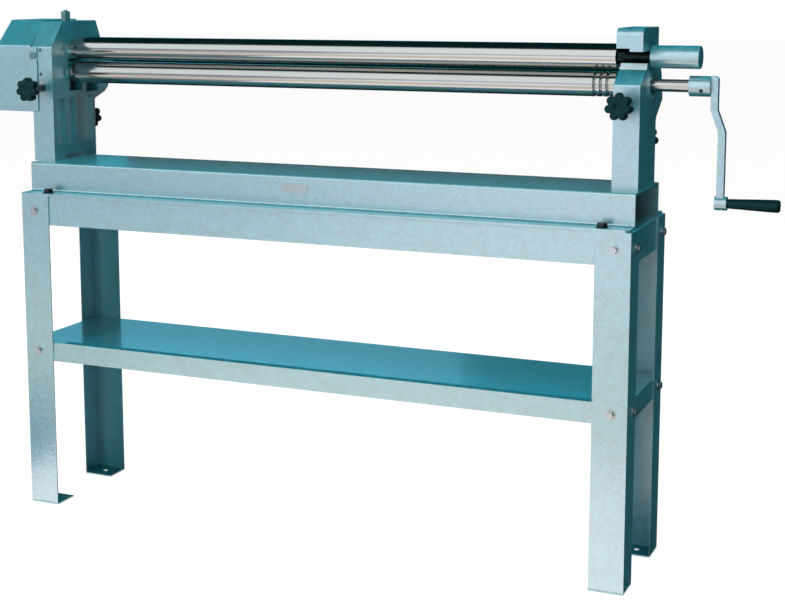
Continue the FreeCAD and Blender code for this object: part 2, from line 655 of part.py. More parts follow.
cut(right_head, "YZ", right_in, right_out,
    ring(d.roll_y, top_z, d.top_right_journal / 2 + d.running))
cut(right_head, "YZ", slot_end, right_out, ring(d.roll_y, pinch_z, d.cap_bore / 2))
cut(right_head, "YZ", right_x - lug_half, right_x + lug_half,
    ring(hinge_y, hinge_z, d.latch_pin / 2))
cap_holes = []
cap_reach = d.cap_diameter / 2 - d.cap_screw_edge
for angle in (math.radians(turn) for turn in (30, 150, 270)):
    cap_holes.append((d.roll_y + cap_reach * math.cos(angle),
                      pinch_z + cap_reach * math.sin(angle)))
cap_rings = [ring(y, z, d.cap_screw / 2 + d.running) for y, z in cap_holes]
cut(right_head, "YZ", slot_end, right_out, *cap_rings)

cap = new_body("bearing_cap")
add(cap, "YZ", right_out, right_out + d.cap_thick, ring(d.roll_y, pinch_z, d.cap_diameter / 2),
    ring(d.roll_y, pinch_z, d.cap_bore / 2))
cut(cap, "YZ", right_out, right_out + d.cap_thick, *cap_rings)
cap_screw_parts = []
for y, z in cap_holes:
    at = vec(right_out + d.cap_thick, y, z)
    head = rod(at, X_AXIS, d.cap_screw_head, d.cap_screw_thick)
    shank = rod(at, -X_AXIS, d.cap_screw, d.cap_thick + d.outer_wall - d.cap_screw_gap)
    cap_screw_parts.append(head.fuse(shank).removeSplitter())
group("cap_screws", cap_screw_parts)

turned("top_bush", (left_out, d.roll_y, top_z), [
    (ZERO, d.top_journal / 2 + d.running),
    (d.left_head_width + d.bush_collar, d.top_journal / 2 + d.running),
    (d.left_head_width + d.bush_collar, d.bush_flange / 2),
    (d.left_head_width, d.bush_flange / 2), (d.left_head_width, d.top_bush / 2),
    (ZERO, d.top_bush / 2)])

clamp_foot = top_z + d.top_bush / 2 + d.clamp_gap
clamp_length = left_top_z + d.clamp_rise - clamp_foot
clamp = rod(vec(left_x, clamp_y, clamp_foot), Z_AXIS, d.clamp_bolt, clamp_length)
clamp_nut = hexagon(vec(left_x, clamp_y, left_top_z), Z_AXIS, d.clamp_nut_flats,
                    d.clamp_nut_height, d.clamp_bolt + 2 * d.running)
group("clamp_stud", [clamp, clamp_nut])

# ---------------------------------------------------------------- gear cover
cover_in = left_out - d.face_gap
cover_out = left_out - d.cover_depth - d.cover_end_gap
cover_front = -d.left_front - d.cover_wall - d.face_gap
cover_top = left_top_z + d.cover_wall
cover_rear = d.left_rear + d.cover_rear
cover_lip = left_x - d.stem_diameter / 2 - d.cover_stem_gap


def cover_outline(inset):
    """The outline of the gear cover, moved inward by a wall."""
    low = bed_top + d.cover_bottom + inset
    high = cover_top - inset
    front = cover_front + inset
    rear = cover_rear - inset
    slope = inset * d.cover_slope_share
    return poly((front, low), (front, high - d.left_chamfer_drop + inset - slope),
                (front + d.cover_slope - inset + slope, high), (rear - d.cover_rear_flat, high),
                (rear, high - d.cover_rear_drop), (rear, low))


cover = new_body("gear_cover")
add(cover, "YZ", cover_out, cover_in, cover_outline(ZERO))
doc.recompute()
cut(cover, "YZ", cover_out + d.cover_wall, cover_in, cover_outline(d.cover_wall))
add(cover, "XZ", cover_front, cover_front + d.cover_wall, rect(
    cover_in - d.cover_lip_lap, cover_lip, bed_top + d.cover_bottom,
    left_top_z - d.left_chamfer_drop))
cut(cover, "XZ", cover_front, cover_front + d.cover_wall,
    ring(cover_screw_x, cover_screw_z, d.cover_screw / 2 + d.running))
cut(cover, "YZ", cover_out, cover_out + d.cover_wall,
    ring(stud_y, stud_z, d.cover_stud / 2 + d.running))
screw_at = vec(cover_screw_x, cover_front, cover_screw_z)
front_screw = rod(screw_at, -Y_AXIS, d.cover_screw_head, d.cover_screw_thick).fuse(
    rod(screw_at, Y_AXIS, d.cover_screw, d.cover_screw_length))
stud = rod(vec(cover_out - d.stud_end, stud_y, stud_z), X_AXIS, d.cover_stud,
           d.cover_depth + d.stud_end + d.stud_depth)
stud_nut = hexagon(vec(cover_out, stud_y, stud_z), -X_AXIS, d.stud_nut_flats,
                   d.stud_nut_height, d.cover_stud + 2 * d.running)
group("cover_screws", [front_screw.removeSplitter(), stud, stud_nut])

# ---------------------------------------------------------------- rolls and their drive
gear_in = left_out - d.gear_start
gear_out = gear_in - d.gear_width
shaft_tip = gear_out - d.gear_thread
radius = d.roll_diameter / 2
key_half = d.key_size / 2
key_floor = d.gear_bore / 2 - d.key_size / 2
key_start = gear_out + (d.gear_width - d.key_length) / 2


def roll(label, at, left_end, left_journal, right_steps):
    """A solid roll with turned journals; the steps at its right end are (along, radius)."""
    return turned(label, at, [*left_end, (roll_left, left_journal / 2),
                              (roll_left, radius - d.roll_chamfer),
                              (roll_left + d.roll_chamfer, radius), (roll_right, radius),
                              *right_steps])


def geared_end(journal):
    """The left end of a driven roll: threaded tip, gear seat and journal."""
    return [(shaft_tip, ZERO), (shaft_tip, d.gear_bolt / 2), (gear_out, d.gear_bolt / 2),
            (gear_out, d.gear_bore / 2), (gear_in, d.gear_bore / 2), (gear_in, journal / 2)]


def keyway(body, low, high):
    cut(body, "XY", low, high, rect(key_start, key_start + d.key_length,
                                    -key_half - d.running, key_half + d.running))


top_at = (ZERO, d.roll_y, top_z)
pinch_at = (ZERO, d.roll_y, pinch_z)
bend_at = (ZERO, bend_y, bend_z)
sleeve_in = right_out + d.sleeve_gap
sleeve_bore_end = sleeve_in + d.sleeve_length - d.sleeve_cap
sleeve_spigot = d.top_right_journal / 2 - d.sleeve_step
top_roll = roll("top_roll", top_at, geared_end(d.top_journal), d.top_journal, [
    (roll_right, d.top_right_journal / 2), (sleeve_in, d.top_right_journal / 2),
    (sleeve_in, sleeve_spigot), (sleeve_bore_end - d.sleeve_end_gap, sleeve_spigot),
    (sleeve_bore_end - d.sleeve_end_gap, ZERO)])
keyway(top_roll, key_floor, d.gear_bore / 2)

shaft_end = right_out + d.shaft_reach + d.hub_length - d.shaft_recess
groove_steps = []
for number in (2, 1, 0):
    middle = roll_right - d.groove_first - d.groove_pitch * number
    half = d.groove_width / 2
    groove_steps += [(middle - half, radius), (middle - half, radius - d.groove_depth),
                     (middle + half, radius - d.groove_depth), (middle + half, radius)]
pinch_roll = turned("pinch_roll", pinch_at, [
    *geared_end(d.pinch_journal), (roll_left, d.pinch_journal / 2),
    (roll_left, radius - d.roll_chamfer), (roll_left + d.roll_chamfer, radius),
    *groove_steps, (roll_right, radius), (roll_right, d.pinch_journal / 2),
    (right_out - d.crank_step, d.pinch_journal / 2), (right_out - d.crank_step, d.crank_shaft / 2),
    (shaft_end, d.crank_shaft / 2), (shaft_end, ZERO)])
keyway(pinch_roll, key_floor, d.gear_bore / 2)

rocker_left = left_out + d.rocker_inset
rocker_right = right_in + d.rocker_inset
rocker_end = rocker_right + rocker_thick("right")
turned("bending_roll", bend_at, [
    (rocker_left, ZERO), (rocker_left, d.bend_journal / 2), (roll_left, d.bend_journal / 2),
    (roll_left, radius - d.roll_chamfer), (roll_left + d.roll_chamfer, radius),
    (roll_right, radius), (roll_right, d.bend_journal / 2),
    (rocker_end, d.bend_journal / 2), (rocker_end, ZERO)])

TEETH = 12
LOBES = 7


def gear(label, at, turn):
    """A spur gear with long thin teeth; turn is the angle of its first tooth from up."""
    body = new_body(label, at)
    add(body, "YZ", gear_out, gear_in, ring(0, 0, d.gear_root / 2))
    angle = math.radians(turn)
    corners = []
    low = d.gear_root / 2 - d.tooth_root
    high = d.gear_tip / 2
    for across, out in ((-d.tooth_base / 2, low), (d.tooth_base / 2, low),
                        (d.tooth_tip / 2, high), (-d.tooth_tip / 2, high)):
        corners.append((across * math.cos(angle) - out * math.sin(angle),
                        across * math.sin(angle) + out * math.cos(angle)))
    tooth = add(body, "YZ", gear_out, gear_in, poly(*corners))
    around(body, tooth, "X", TEETH)
    cut(body, "YZ", gear_out, gear_in, ring(0, 0, d.gear_bore / 2 + d.running))
    keyway(body, key_floor, key_floor + d.key_size + d.face_gap)


def key(label, at):
    body = new_body(label, at)
    add(body, "XY", key_floor, key_floor + d.key_size,
        rect(key_start, key_start + d.key_length, -key_half, key_half))


def gear_nut(label, at):
    body = new_body(label, at)
    half_flat = d.gear_nut_flats / 2
    corner = half_flat / math.cos(math.radians(30))
    side = corner / 2
    add(body, "YZ", gear_out - d.gear_nut_thick, gear_out, poly(
        (-half_flat, side), (-half_flat, -side), (ZERO, -corner),
        (half_flat, -side), (half_flat, side), (ZERO, corner)))
    cut(body, "YZ", gear_out - d.gear_nut_thick, gear_out,
        ring(0, 0, d.gear_bolt / 2 + d.running))


for prefix, at, turn in (("top", top_at, 180 / TEETH), ("pinch", pinch_at, 0)):
    gear(f"{prefix}_gear", at, turn)
    key(f"{prefix}_key", at)
    gear_nut(f"{prefix}_gear_nut", at)

turned("lift_sleeve", top_at, [
    (sleeve_in, sleeve_spigot + d.running), (sleeve_bore_end, sleeve_spigot + d.running),
    (sleeve_bore_end, ZERO),
    (sleeve_in + d.sleeve_length, ZERO), (sleeve_in + d.sleeve_length, d.sleeve_diameter / 2),
    (sleeve_in, d.sleeve_diameter / 2)])

# ---------------------------------------------------------------- crank
hub_start = right_out + d.shaft_reach
hub_end = hub_start + d.hub_length
arm_in = hub_end
knee_x = arm_in + d.arm_offset
half_arm = d.arm_width / 2
boss_end = knee_x + d.grip_boss_length - d.boss_back
boss_in = boss_end - d.grip_boss_length
knee_out = knee_x + d.arm_thick
arm_top = d.hub_diameter / 2
arm_tip = arm_in + d.arm_thick
arm_low = -d.throw + d.arm_foot
crank = new_body("crank_arm", pinch_at)
add(crank, "YZ", hub_start, hub_end, ring(0, 0, d.hub_diameter / 2))
add(crank, "XZ", -half_arm, half_arm, poly(
    (arm_in, arm_top), (arm_tip - d.arm_brow, arm_top), (arm_tip, arm_top - d.arm_brow),
    (arm_tip, -d.arm_straight),
    (knee_out, -d.arm_knee), (knee_out, arm_low), (knee_x, arm_low), (knee_x, -d.arm_knee),
    (arm_in, -d.arm_straight)))
add(crank, "YZ", boss_in, boss_end, ring(0, -d.throw, d.grip_boss / 2))
cut(crank, "YZ", hub_start, shaft_end + d.shaft_end_gap, ring(0, 0, d.crank_shaft / 2 + d.running))
cut(crank, "YZ", boss_in, boss_end, ring(0, -d.throw, d.grip_pin / 2))
set_x = hub_start + d.set_screw_in
cut(crank, "XZ", -d.hub_diameter / 2, -d.set_screw_side,
    ring(set_x, -d.set_screw_side, d.set_screw / 2 + d.running))
set_screw = new_body("crank_set_screw", pinch_at)
add(set_screw, "XZ", -d.set_screw_top, -d.crank_shaft / 2 + d.set_screw_gap,
    ring(set_x, -d.set_screw_side, d.set_screw / 2))

grip_at = (ZERO, d.roll_y, pinch_z - d.throw)
grip_start = boss_end + d.grip_gap
grip_end = grip_start + d.grip_length
pin_play = d.grip_pin / 2 + d.running
pin_head = d.grip_pin / 2 + d.grip_head
turned("crank_grip", grip_at, [
    (grip_start, pin_play), (grip_end - d.grip_recess, pin_play),
    (grip_end - d.grip_recess, pin_head + d.grip_head_play),
    (grip_end, pin_head + d.grip_head_play), (grip_end, d.grip_large / 2),
    (grip_start, d.grip_small / 2)])
head_in = grip_end - d.grip_recess + d.grip_pin_gap
turned("grip_pin", grip_at, [
    (boss_in, ZERO), (boss_in, d.grip_pin / 2), (head_in, d.grip_pin / 2), (head_in, pin_head),
    (grip_end - d.grip_pin_sunk, pin_head), (grip_end - d.grip_pin_sunk, ZERO)])

# ---------------------------------------------------------------- pinch roll adjusters
wedge_front = slot_front + d.face_gap + d.collar_thick + d.wedge_start
wedge_rear = wedge_front + d.wedge_length
wedge_thin = screw_z + d.screw_diameter / 2 + d.wedge_top_wall
block_top = slot_top - d.lift_travel - d.face_gap * 2


def wedge_line(y):
    """Height of the sloping contact face over a place in Y."""
    return wedge_thin + (wedge_rear - y) / d.wedge_slope


def pinch_block(label, low, high):
    """The block that carries a pinch roll bush; its foot rides on the wedge."""
    body = new_body(label)
    y_front = slot_front + d.face_gap
    y_rear = slot_rear - d.face_gap
    y_low = wedge_rear + d.lift_travel * d.wedge_slope
    foot = wedge_line(y_low) + d.face_gap / 2
    add(body, "YZ", low, high, poly(
        (y_front, wedge_line(y_front) + d.face_gap / 2), (y_low, foot), (y_rear, foot),
        (y_rear, block_top), (y_front, block_top)))
    cut(body, "YZ", low, high, ring(d.roll_y, pinch_z, d.pinch_bush / 2))


def pinch_wedge(label, centre):
    """The wedge a front screw draws under the block."""
    body = new_body(label)
    floor = slot_floor + d.face_gap
    half = d.wedge_width / 2
    add(body, "YZ", centre - half, centre + half, poly(
        (wedge_front, floor), (wedge_rear, floor), (wedge_rear, wedge_thin),
        (wedge_front, wedge_line(wedge_front))))
    cut(body, "XZ", wedge_front, wedge_rear, ring(centre, screw_z, d.screw_diameter / 2 + d.running))


def screw(label, at, steps):
    """A screw turned about Y from its (along, radius) steps."""
    turned(label, at, [(steps[0][0], ZERO), *steps, (steps[-1][0], ZERO)], axis="Y")


def star_knob(label, at, near, far, stem_from, stem_to, bore_from, bore_to):
    """A seven-lobed hand knob with its stem; all places are along Y."""
    body = new_body(label, at)
    lobe_out = d.knob_diameter / 2 - d.knob_lobe
    add(body, "XZ", near, far, ring(0, 0, lobe_out + d.knob_core))
    lobe = add(body, "XZ", near, far, ring(0, lobe_out, d.knob_lobe))
    around(body, lobe, "Y", LOBES)
    add(body, "XZ", stem_from, stem_to, ring(0, 0, d.stem_diameter / 2))
    cut(body, "XZ", bore_from, bore_to, ring(0, 0, d.screw_diameter / 2 + d.running))


left_block = (left_out + pocket_depth("left") + d.block_in, left_in - d.block_gap)
right_block = (right_in + pocket_depth("right") + d.block_in, slot_end - d.block_gap)
bush_parts = []
for side_name, centre, span, front in (("left", left_x, left_block, d.left_front),
                                       ("right", right_x, right_block, d.right_front)):
    pinch_block(f"{side_name}_pinch_block", *span)
    pinch_wedge(f"{side_name}_pinch_wedge", centre)
    bush_parts.append(rod(vec(span[0], d.roll_y, pinch_z), X_AXIS, d.pinch_bush,
                          span[1] - span[0], d.pinch_journal + 2 * d.running))
    core = d.screw_diameter / 2
    collar_at = slot_front + d.face_gap
    knob_middle = -front - d.front_knob_reach
    near = knob_middle - d.knob_thick / 2
    far = knob_middle + d.knob_thick / 2
    at = (centre, ZERO, screw_z)
    screw(f"{side_name}_front_screw", at, [
        (near + d.front_cap, core), (collar_at, core), (collar_at, d.collar_diameter / 2),
        (collar_at + d.collar_thick, d.collar_diameter / 2), (collar_at + d.collar_thick, core),
        (slot_rear - d.screw_end_gap, core)])
    star_knob(f"{side_name}_front_knob", at, near, far, far, -front - d.face_gap,
              near + d.front_cap, -front - d.face_gap)
group("pinch_bushes", bush_parts)

# ---------------------------------------------------------------- rear adjusters
arm_side = d.rocker_arm * d.arm_share
rocker_bush_parts = []
pivot_parts = []


def rocker(label, low, high):
    """The bell crank that swings one end of the bending roll about the pivot pin."""
    body = new_body(label)
    tail = fork_z - d.fork_pin
    lean_tail = d.fork_lean * d.fork_tail_share
    half = d.rocker_arm / 2 + d.fork_cheek
    add(body, "YZ", low, high, ring(pivot_y, pivot_z, d.pivot_pin / 2 + d.rocker_boss))
    add(body, "YZ", low, high, poly(
        (pivot_y - half, pivot_z), (pivot_y - half - lean_tail, tail),
        (pivot_y + half - lean_tail, tail), (pivot_y + half, pivot_z)))
    add(body, "YZ", low, high, poly(
        (pivot_y - arm_side, pivot_z + arm_side), (pivot_y + arm_side, pivot_z - arm_side),
        (bend_y + arm_side, bend_z - arm_side), (bend_y - arm_side, bend_z + arm_side)))
    add(body, "YZ", low, high, ring(bend_y, bend_z, d.bend_bush / 2 + d.rocker_eye))
    slot_half = d.fork_pin / 2 + d.face_gap
    slot_head = fork_z + d.fork_pin
    lean_head = d.fork_lean * d.fork_head_share
    cut(body, "YZ", low, high, poly(
        (pivot_y - slot_half - lean_head, slot_head), (pivot_y - slot_half - lean_tail, tail),
        (pivot_y + slot_half - lean_tail, tail), (pivot_y + slot_half - lean_head, slot_head)))
    cut(body, "YZ", low, high, ring(pivot_y, pivot_z, d.pivot_pin / 2 + d.running))
    cut(body, "YZ", low, high, ring(bend_y, bend_z, d.bend_bush / 2))


def rear_nut(label, centre, rocker_low):
    """The nut of a rear screw, with the side pin that works in the rocker's fork."""
    body = new_body(label)
    half = d.nut_width / 2
    y_front = fork_y - d.nut_length / 2
    y_rear = fork_y + d.nut_length / 2
    z_half = d.chamber_height / 2 - d.nut_play
    add(body, "YZ", centre - half, centre + half,
        rect(y_front, y_rear, fork_z - z_half, fork_z + z_half))
    add(body, "YZ", rocker_low + d.nut_play, centre - half,
        ring(fork_y, fork_z, d.fork_pin / 2))
    cut(body, "XZ", y_front, y_rear, ring(centre, fork_z, d.screw_diameter / 2 + d.running))


for side_name, centre, low, out, rear in (
        ("left", left_x, rocker_left, left_out, d.left_rear),
        ("right", right_x, rocker_right, right_in, d.right_rear)):
    thick = rocker_thick(side_name)
    rocker(f"{side_name}_rocker", low, low + thick)
    rear_nut(f"{side_name}_rear_nut", centre, low)
    rocker_bush_parts.append(rod(vec(low, bend_y, bend_z), X_AXIS, d.bend_bush, thick,
                                 d.bend_journal + 2 * d.running))
    pin_start = out + d.pivot_inset
    pivot_parts.append(rod(vec(pin_start, pivot_y, pivot_z), X_AXIS, d.pivot_pin,
                           centre + d.pivot_seat - pin_start))
    knob_middle = rear + d.rear_knob_reach
    near = knob_middle - d.rear_knob_thick / 2
    far = knob_middle + d.rear_knob_thick / 2
    at = (centre, ZERO, fork_z)
    collar_at = chamber_rear - d.face_gap - d.collar_thick
    core = d.screw_diameter / 2
    collar = d.collar_diameter / 2 - d.rear_collar_play
    screw(f"{side_name}_rear_screw", at, [
        (chamber_front + d.rear_screw_gap, core), (collar_at, core), (collar_at, collar),
        (collar_at + d.collar_thick, collar), (collar_at + d.collar_thick, core),
        (far - d.rear_cap, core)])
    star_knob(f"{side_name}_rear_knob", at, near, far, rear + d.face_gap, near,
              rear + d.face_gap, far - d.rear_cap)
group("rocker_bushes", rocker_bush_parts)
group("rocker_pins", pivot_parts)

# ---------------------------------------------------------------- latch
latch = new_body("latch")
latch_low = bed_top + d.latch_under
latch_high = bed_top + d.latch_top
latch_front = d.roll_y - d.latch_front
latch_rear = hinge_y + d.hinge_round
add(latch, "YZ", right_in, right_out, rect(latch_front, latch_rear, latch_low, latch_high))
round_edges(latch, "X", d.latch_brow, [(latch_front, latch_high)])
round_edges(latch, "X", d.cast_round, [(latch_rear, latch_high)])
for low, high in ((right_in, right_x - lug_half - d.face_gap),
                  (right_x + lug_half + d.face_gap, right_out)):
    add(latch, "YZ", low, high, rect(latch_rear - 2 * d.hinge_round, latch_rear, hinge_z, latch_low))
    add(latch, "YZ", low, high, ring(hinge_y, hinge_z, d.hinge_round))
add(latch, "YZ", right_x, right_out, rect(latch_front, hinge_y - d.hinge_round,
                                          latch_low - d.latch_step, latch_low))
cut(latch, "YZ", right_in, right_out,
    ring(d.roll_y, top_z, d.top_right_journal / 2 + d.face_gap))
cut(latch, "YZ", right_x - lug_half - d.face_gap, right_x + lug_half + d.face_gap,
    rect(hinge_y - d.hinge_round - d.latch_clear, latch_rear, latch_low,
         hinge_z + d.hinge_round + d.latch_clear))
cut(latch, "YZ", right_in, right_out, ring(hinge_y, hinge_z, d.latch_pin / 2 + d.running))
latch_pin = new_body("latch_pin")
add(latch_pin, "YZ", right_in + d.latch_clear, right_out - d.latch_clear,
    ring(hinge_y, hinge_z, d.latch_pin / 2))

# ---------------------------------------------------------------- check and write
doc.recompute()
for obj in doc.Objects:
    if "Invalid" in obj.State or "Error" in obj.State:
        raise RuntimeError(f"{obj.Name} {obj.Label}: {obj.State}")
os.makedirs("parts", exist_ok=True)
for node in nodes:
    if node.Shape.isNull() or not node.Shape.isValid():
        raise RuntimeError(f"{node.Label} has no valid shape")
    node.Shape.exportStep(f"parts/{node.Label}.step")
print(len(nodes), "nodes written")
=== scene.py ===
# %% [markdown]
# A hand-cranked slip roll on its stand: three steel rolls between two cast heads, a hollow
# bed, and a bolted stand of folded sheet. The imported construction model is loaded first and
# never moved. Every finish and every finer surface is added around it.

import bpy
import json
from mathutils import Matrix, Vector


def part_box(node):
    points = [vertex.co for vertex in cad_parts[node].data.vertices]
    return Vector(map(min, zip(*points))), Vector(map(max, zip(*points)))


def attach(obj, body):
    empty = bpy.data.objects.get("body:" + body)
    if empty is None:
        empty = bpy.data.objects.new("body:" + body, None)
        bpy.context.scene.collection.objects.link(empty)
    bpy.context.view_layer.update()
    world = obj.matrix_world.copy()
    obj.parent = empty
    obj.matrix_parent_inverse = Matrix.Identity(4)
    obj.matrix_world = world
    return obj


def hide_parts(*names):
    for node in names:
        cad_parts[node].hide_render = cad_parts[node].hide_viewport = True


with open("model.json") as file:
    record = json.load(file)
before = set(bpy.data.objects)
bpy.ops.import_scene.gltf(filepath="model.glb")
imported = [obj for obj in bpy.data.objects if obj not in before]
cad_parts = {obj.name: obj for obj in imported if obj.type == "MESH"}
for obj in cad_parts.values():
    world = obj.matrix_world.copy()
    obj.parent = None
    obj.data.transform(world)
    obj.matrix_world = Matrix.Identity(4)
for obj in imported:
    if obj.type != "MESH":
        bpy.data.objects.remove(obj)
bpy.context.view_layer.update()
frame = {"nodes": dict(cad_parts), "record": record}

import json
import math

import bmesh
import bpy
import numpy as np
from mathutils import Matrix, Vector

scene = bpy.context.scene
nodes = frame["nodes"]

# %% [markdown]
# The camera stands to the right of the middle and a little above the rolls. A camera can be
# aimed at a target object, but three angles and a place say the same without a helper. The
# lens is given in pixels of the finished picture, and a small lens shift puts the machine
# in the frame without turning the camera.

# %% Camera
PICTURE_WIDTH, PICTURE_HEIGHT = 785, 608
LENS_PIXELS = 1533.4
LENS_CENTRE_X, LENS_CENTRE_Y = 347.8, 210.0
YAW, TILT, ROLL = 24.420, 8.388, -0.232
EYE = (1.3948, -2.9699, 1.1894)
FARTHEST_SEEN = 60


def look(yaw, tilt, roll):
    """The camera's right, up and back directions: yaw turns it to the left about Z, tilt
    lowers its nose, and roll turns it about its own line of sight."""
    a, b, c = (math.radians(v) for v in (yaw, tilt, roll))
    ahead = Vector((-math.sin(a) * math.cos(b), math.cos(a) * math.cos(b), -math.sin(b)))
    level = Vector((math.cos(a), math.sin(a), 0))
    above = level.cross(ahead)
    right = level * math.cos(c) + above * math.sin(c)
    up = above * math.cos(c) - level * math.sin(c)
    return Matrix((right, up, -ahead)).transposed()


lens = bpy.data.cameras.new("camera")
camera = bpy.data.objects.new("camera", lens)
scene.collection.objects.link(camera)
camera.matrix_world = Matrix.Translation(EYE) @ look(YAW, TILT, ROLL).to_4x4()
lens.lens = LENS_PIXELS / PICTURE_WIDTH * lens.sensor_width
lens.shift_x = (PICTURE_WIDTH / 2 - LENS_CENTRE_X) / PICTURE_WIDTH
lens.shift_y = (LENS_CENTRE_Y - PICTURE_HEIGHT / 2) / PICTURE_WIDTH
lens.clip_end = FARTHEST_SEEN
scene.camera = camera
print("lens %.1f mm, shift %.3f %.3f" % (lens.lens, lens.shift_x, lens.shift_y))

# %% [markdown]
# White is the room's own colour: the world and the floor show it to the camera, to glossy
# rays and to rays through glass, while the light that falls on the machine stays plain.
# A Light Path node tells these rays apart, which costs nothing and needs no second scene.

# %% World
ROOM_WHITE = (1, 1, 1, 1)
AIR_LIGHT, AIR_COLOUR = 0.32, (0.93, 0.97, 1, 1)


def node(tree, kind, **values):
    """Adds a node of a kind, with its sockets and properties set by name."""
    made = tree.nodes.new("ShaderNode" + kind)
    for name, value in values.items():
        socket = made.inputs.get(name.replace("_", " "))
        if socket is not None and not hasattr(made, name):
            socket.default_value = value
        else:
            setattr(made, name, value)
    return made


def shown_as_background(tree):
    """A factor of 1 for camera, glossy and transmission rays, and 0 for light."""
    path = node(tree, "LightPath")
    one = node(tree, "Math", operation="MAXIMUM")
    two = node(tree, "Math", operation="MAXIMUM")
    tree.links.new(path.outputs["Is Camera Ray"], one.inputs[0])
    tree.links.new(path.outputs["Is Glossy Ray"], one.inputs[1])
    tree.links.new(one.outputs[0], two.inputs[0])
    tree.links.new(path.outputs["Is Transmission Ray"], two.inputs[1])
    return two.outputs[0]


room = bpy.data.worlds.new("room")
scene.world = room
room.use_nodes = True
tree = room.node_tree
tree.nodes.clear()
seen = node(tree, "Background", Color=ROOM_WHITE)
air = node(tree, "Background", Color=AIR_COLOUR, Strength=AIR_LIGHT)
blend = node(tree, "MixShader")
tree.links.new(shown_as_background(tree), blend.inputs[0])
tree.links.new(air.outputs[0], blend.inputs[1])
tree.links.new(seen.outputs[0], blend.inputs[2])
tree.links.new(blend.outputs[0], node(tree, "OutputWorld").inputs[0])
scene.view_settings.view_transform = "Standard"
print("room light", AIR_LIGHT)

# %% [markdown]
# The floor has to vanish into the white and still carry the machine's soft shadow. A white
# emission alone would lose the shadow, and a white diffuse floor would turn grey far away.
# So rays that look at it see a glow plus a little diffuse shade, and light sees plain grey.

# %% Floor
FLOOR_GLOW, FLOOR_REACH = 0.93, 30.0
FLOOR_GREY, FLOOR_SHADE = 0.78, 0.12


def sheet_at(name, corners):
    """A flat four-cornered face through the given corners."""
    mesh = bpy.data.meshes.new(name)
    mesh.from_pydata(corners, [], [(0, 1, 2, 3)])
    made = bpy.data.objects.new(name, mesh)
    scene.collection.objects.link(made)
    return made


def level_corners(x0, x1, y0, y1, z):
    """The corners of a level rectangle from x0 to x1 and y0 to y1, at height z."""
    return [(x0, y0, z), (x1, y0, z), (x1, y1, z), (x0, y1, z)]


def floor_finish():
    """A diffuse floor that catches shadows, with a white glow only where it is looked at."""
    mat = bpy.data.materials.new("pale_floor")
    mat.use_nodes = True
    tree = mat.node_tree
    tree.nodes.clear()
    plain = node(tree, "BsdfDiffuse", Color=(FLOOR_GREY,) * 3 + (1,))
    dim = node(tree, "BsdfDiffuse", Color=(FLOOR_SHADE,) * 3 + (1,))
    glow = node(tree, "Emission", Color=ROOM_WHITE, Strength=FLOOR_GLOW)
    both = node(tree, "AddShader")
    mix = node(tree, "MixShader")
    tree.links.new(dim.outputs[0], both.inputs[0])
    tree.links.new(glow.outputs[0], both.inputs[1])
    tree.links.new(shown_as_background(tree), mix.inputs[0])
    tree.links.new(plain.outputs[0], mix.inputs[1])
    tree.links.new(both.outputs[0], mix.inputs[2])
    tree.links.new(mix.outputs[0], node(tree, "OutputMaterial").inputs[0])
    return mat


r = FLOOR_REACH
floor = sheet_at("floor", level_corners(-r, r, -r, r, 0))
floor.data.materials.append(floor_finish())
print("floor", 2 * FLOOR_REACH, "m")

# %% [markdown]
# Polished steel and glossy enamel show the room they stand in, more than they show lamps.
# A lit room could be modelled round the machine, but cards of one tone each are easier to
# place. Only glossy rays meet them, and they cast no shadow. Above, behind and to the right
# the room is dark. Some of its cards are a deep grey instead, so that the machine's back is
# not black when it is seen from behind, and a small one stands behind the bed.

# %% Cards above, behind and to the right
DARK, REAR_GREY, BED_GREY = (0.001, 0.022, 0.024), (0.10, 0.21, 0.23), (0.09, 0.09, 0.09)
SIDE, WALL, CEILING_SPLIT, FLOOR_END = 12.0, 3.2, 0.8, 0.74  # along X
FRONT, CEILING_FRONT, FEET_FRONT, BEHIND, BACK = -6.5, -1.7, -0.143, 0.3, 8.0  # along Y
GREY_CEILING_END, GREY_WALL_END = 4.5, 3.0  # along Y
CEILING, WALL_TOP, LIFT = 3.6, 9.0, 0.004  # along Z
BED_CARD_REACH, BED_CARD_LOW, BED_CARD_HIGH = 0.7, 0.80, 1.02  # along X, then Z and Z


def card(name, corners, colour):
    """A card of one plain tone that only reflections show."""
    mat = bpy.data.materials.new(name)
    mat.use_nodes = True
    tree = mat.node_tree
    tree.nodes.clear()
    glow = node(tree, "Emission", Color=(*colour, 1))
    tree.links.new(glow.outputs[0], node(tree, "OutputMaterial").inputs[0])
    made = sheet_at(name, corners)
    made.data.materials.append(mat)
    made.visible_camera = made.visible_diffuse = made.visible_shadow = False
    made.visible_transmission = made.visible_volume_scatter = False


def level_card(name, x0, x1, y0, y1, z, colour):
    """A card that lies level at height z."""
    card(name, level_corners(x0, x1, y0, y1, z), colour)


def upright_card(name, x0, y0, x1, y1, low, high, colour):
    """A card that stands on the line from (x0, y0) to (x1, y1), from low to high."""
    card(name, [(x0, y0, low), (x1, y1, low), (x1, y1, high), (x0, y0, high)], colour)


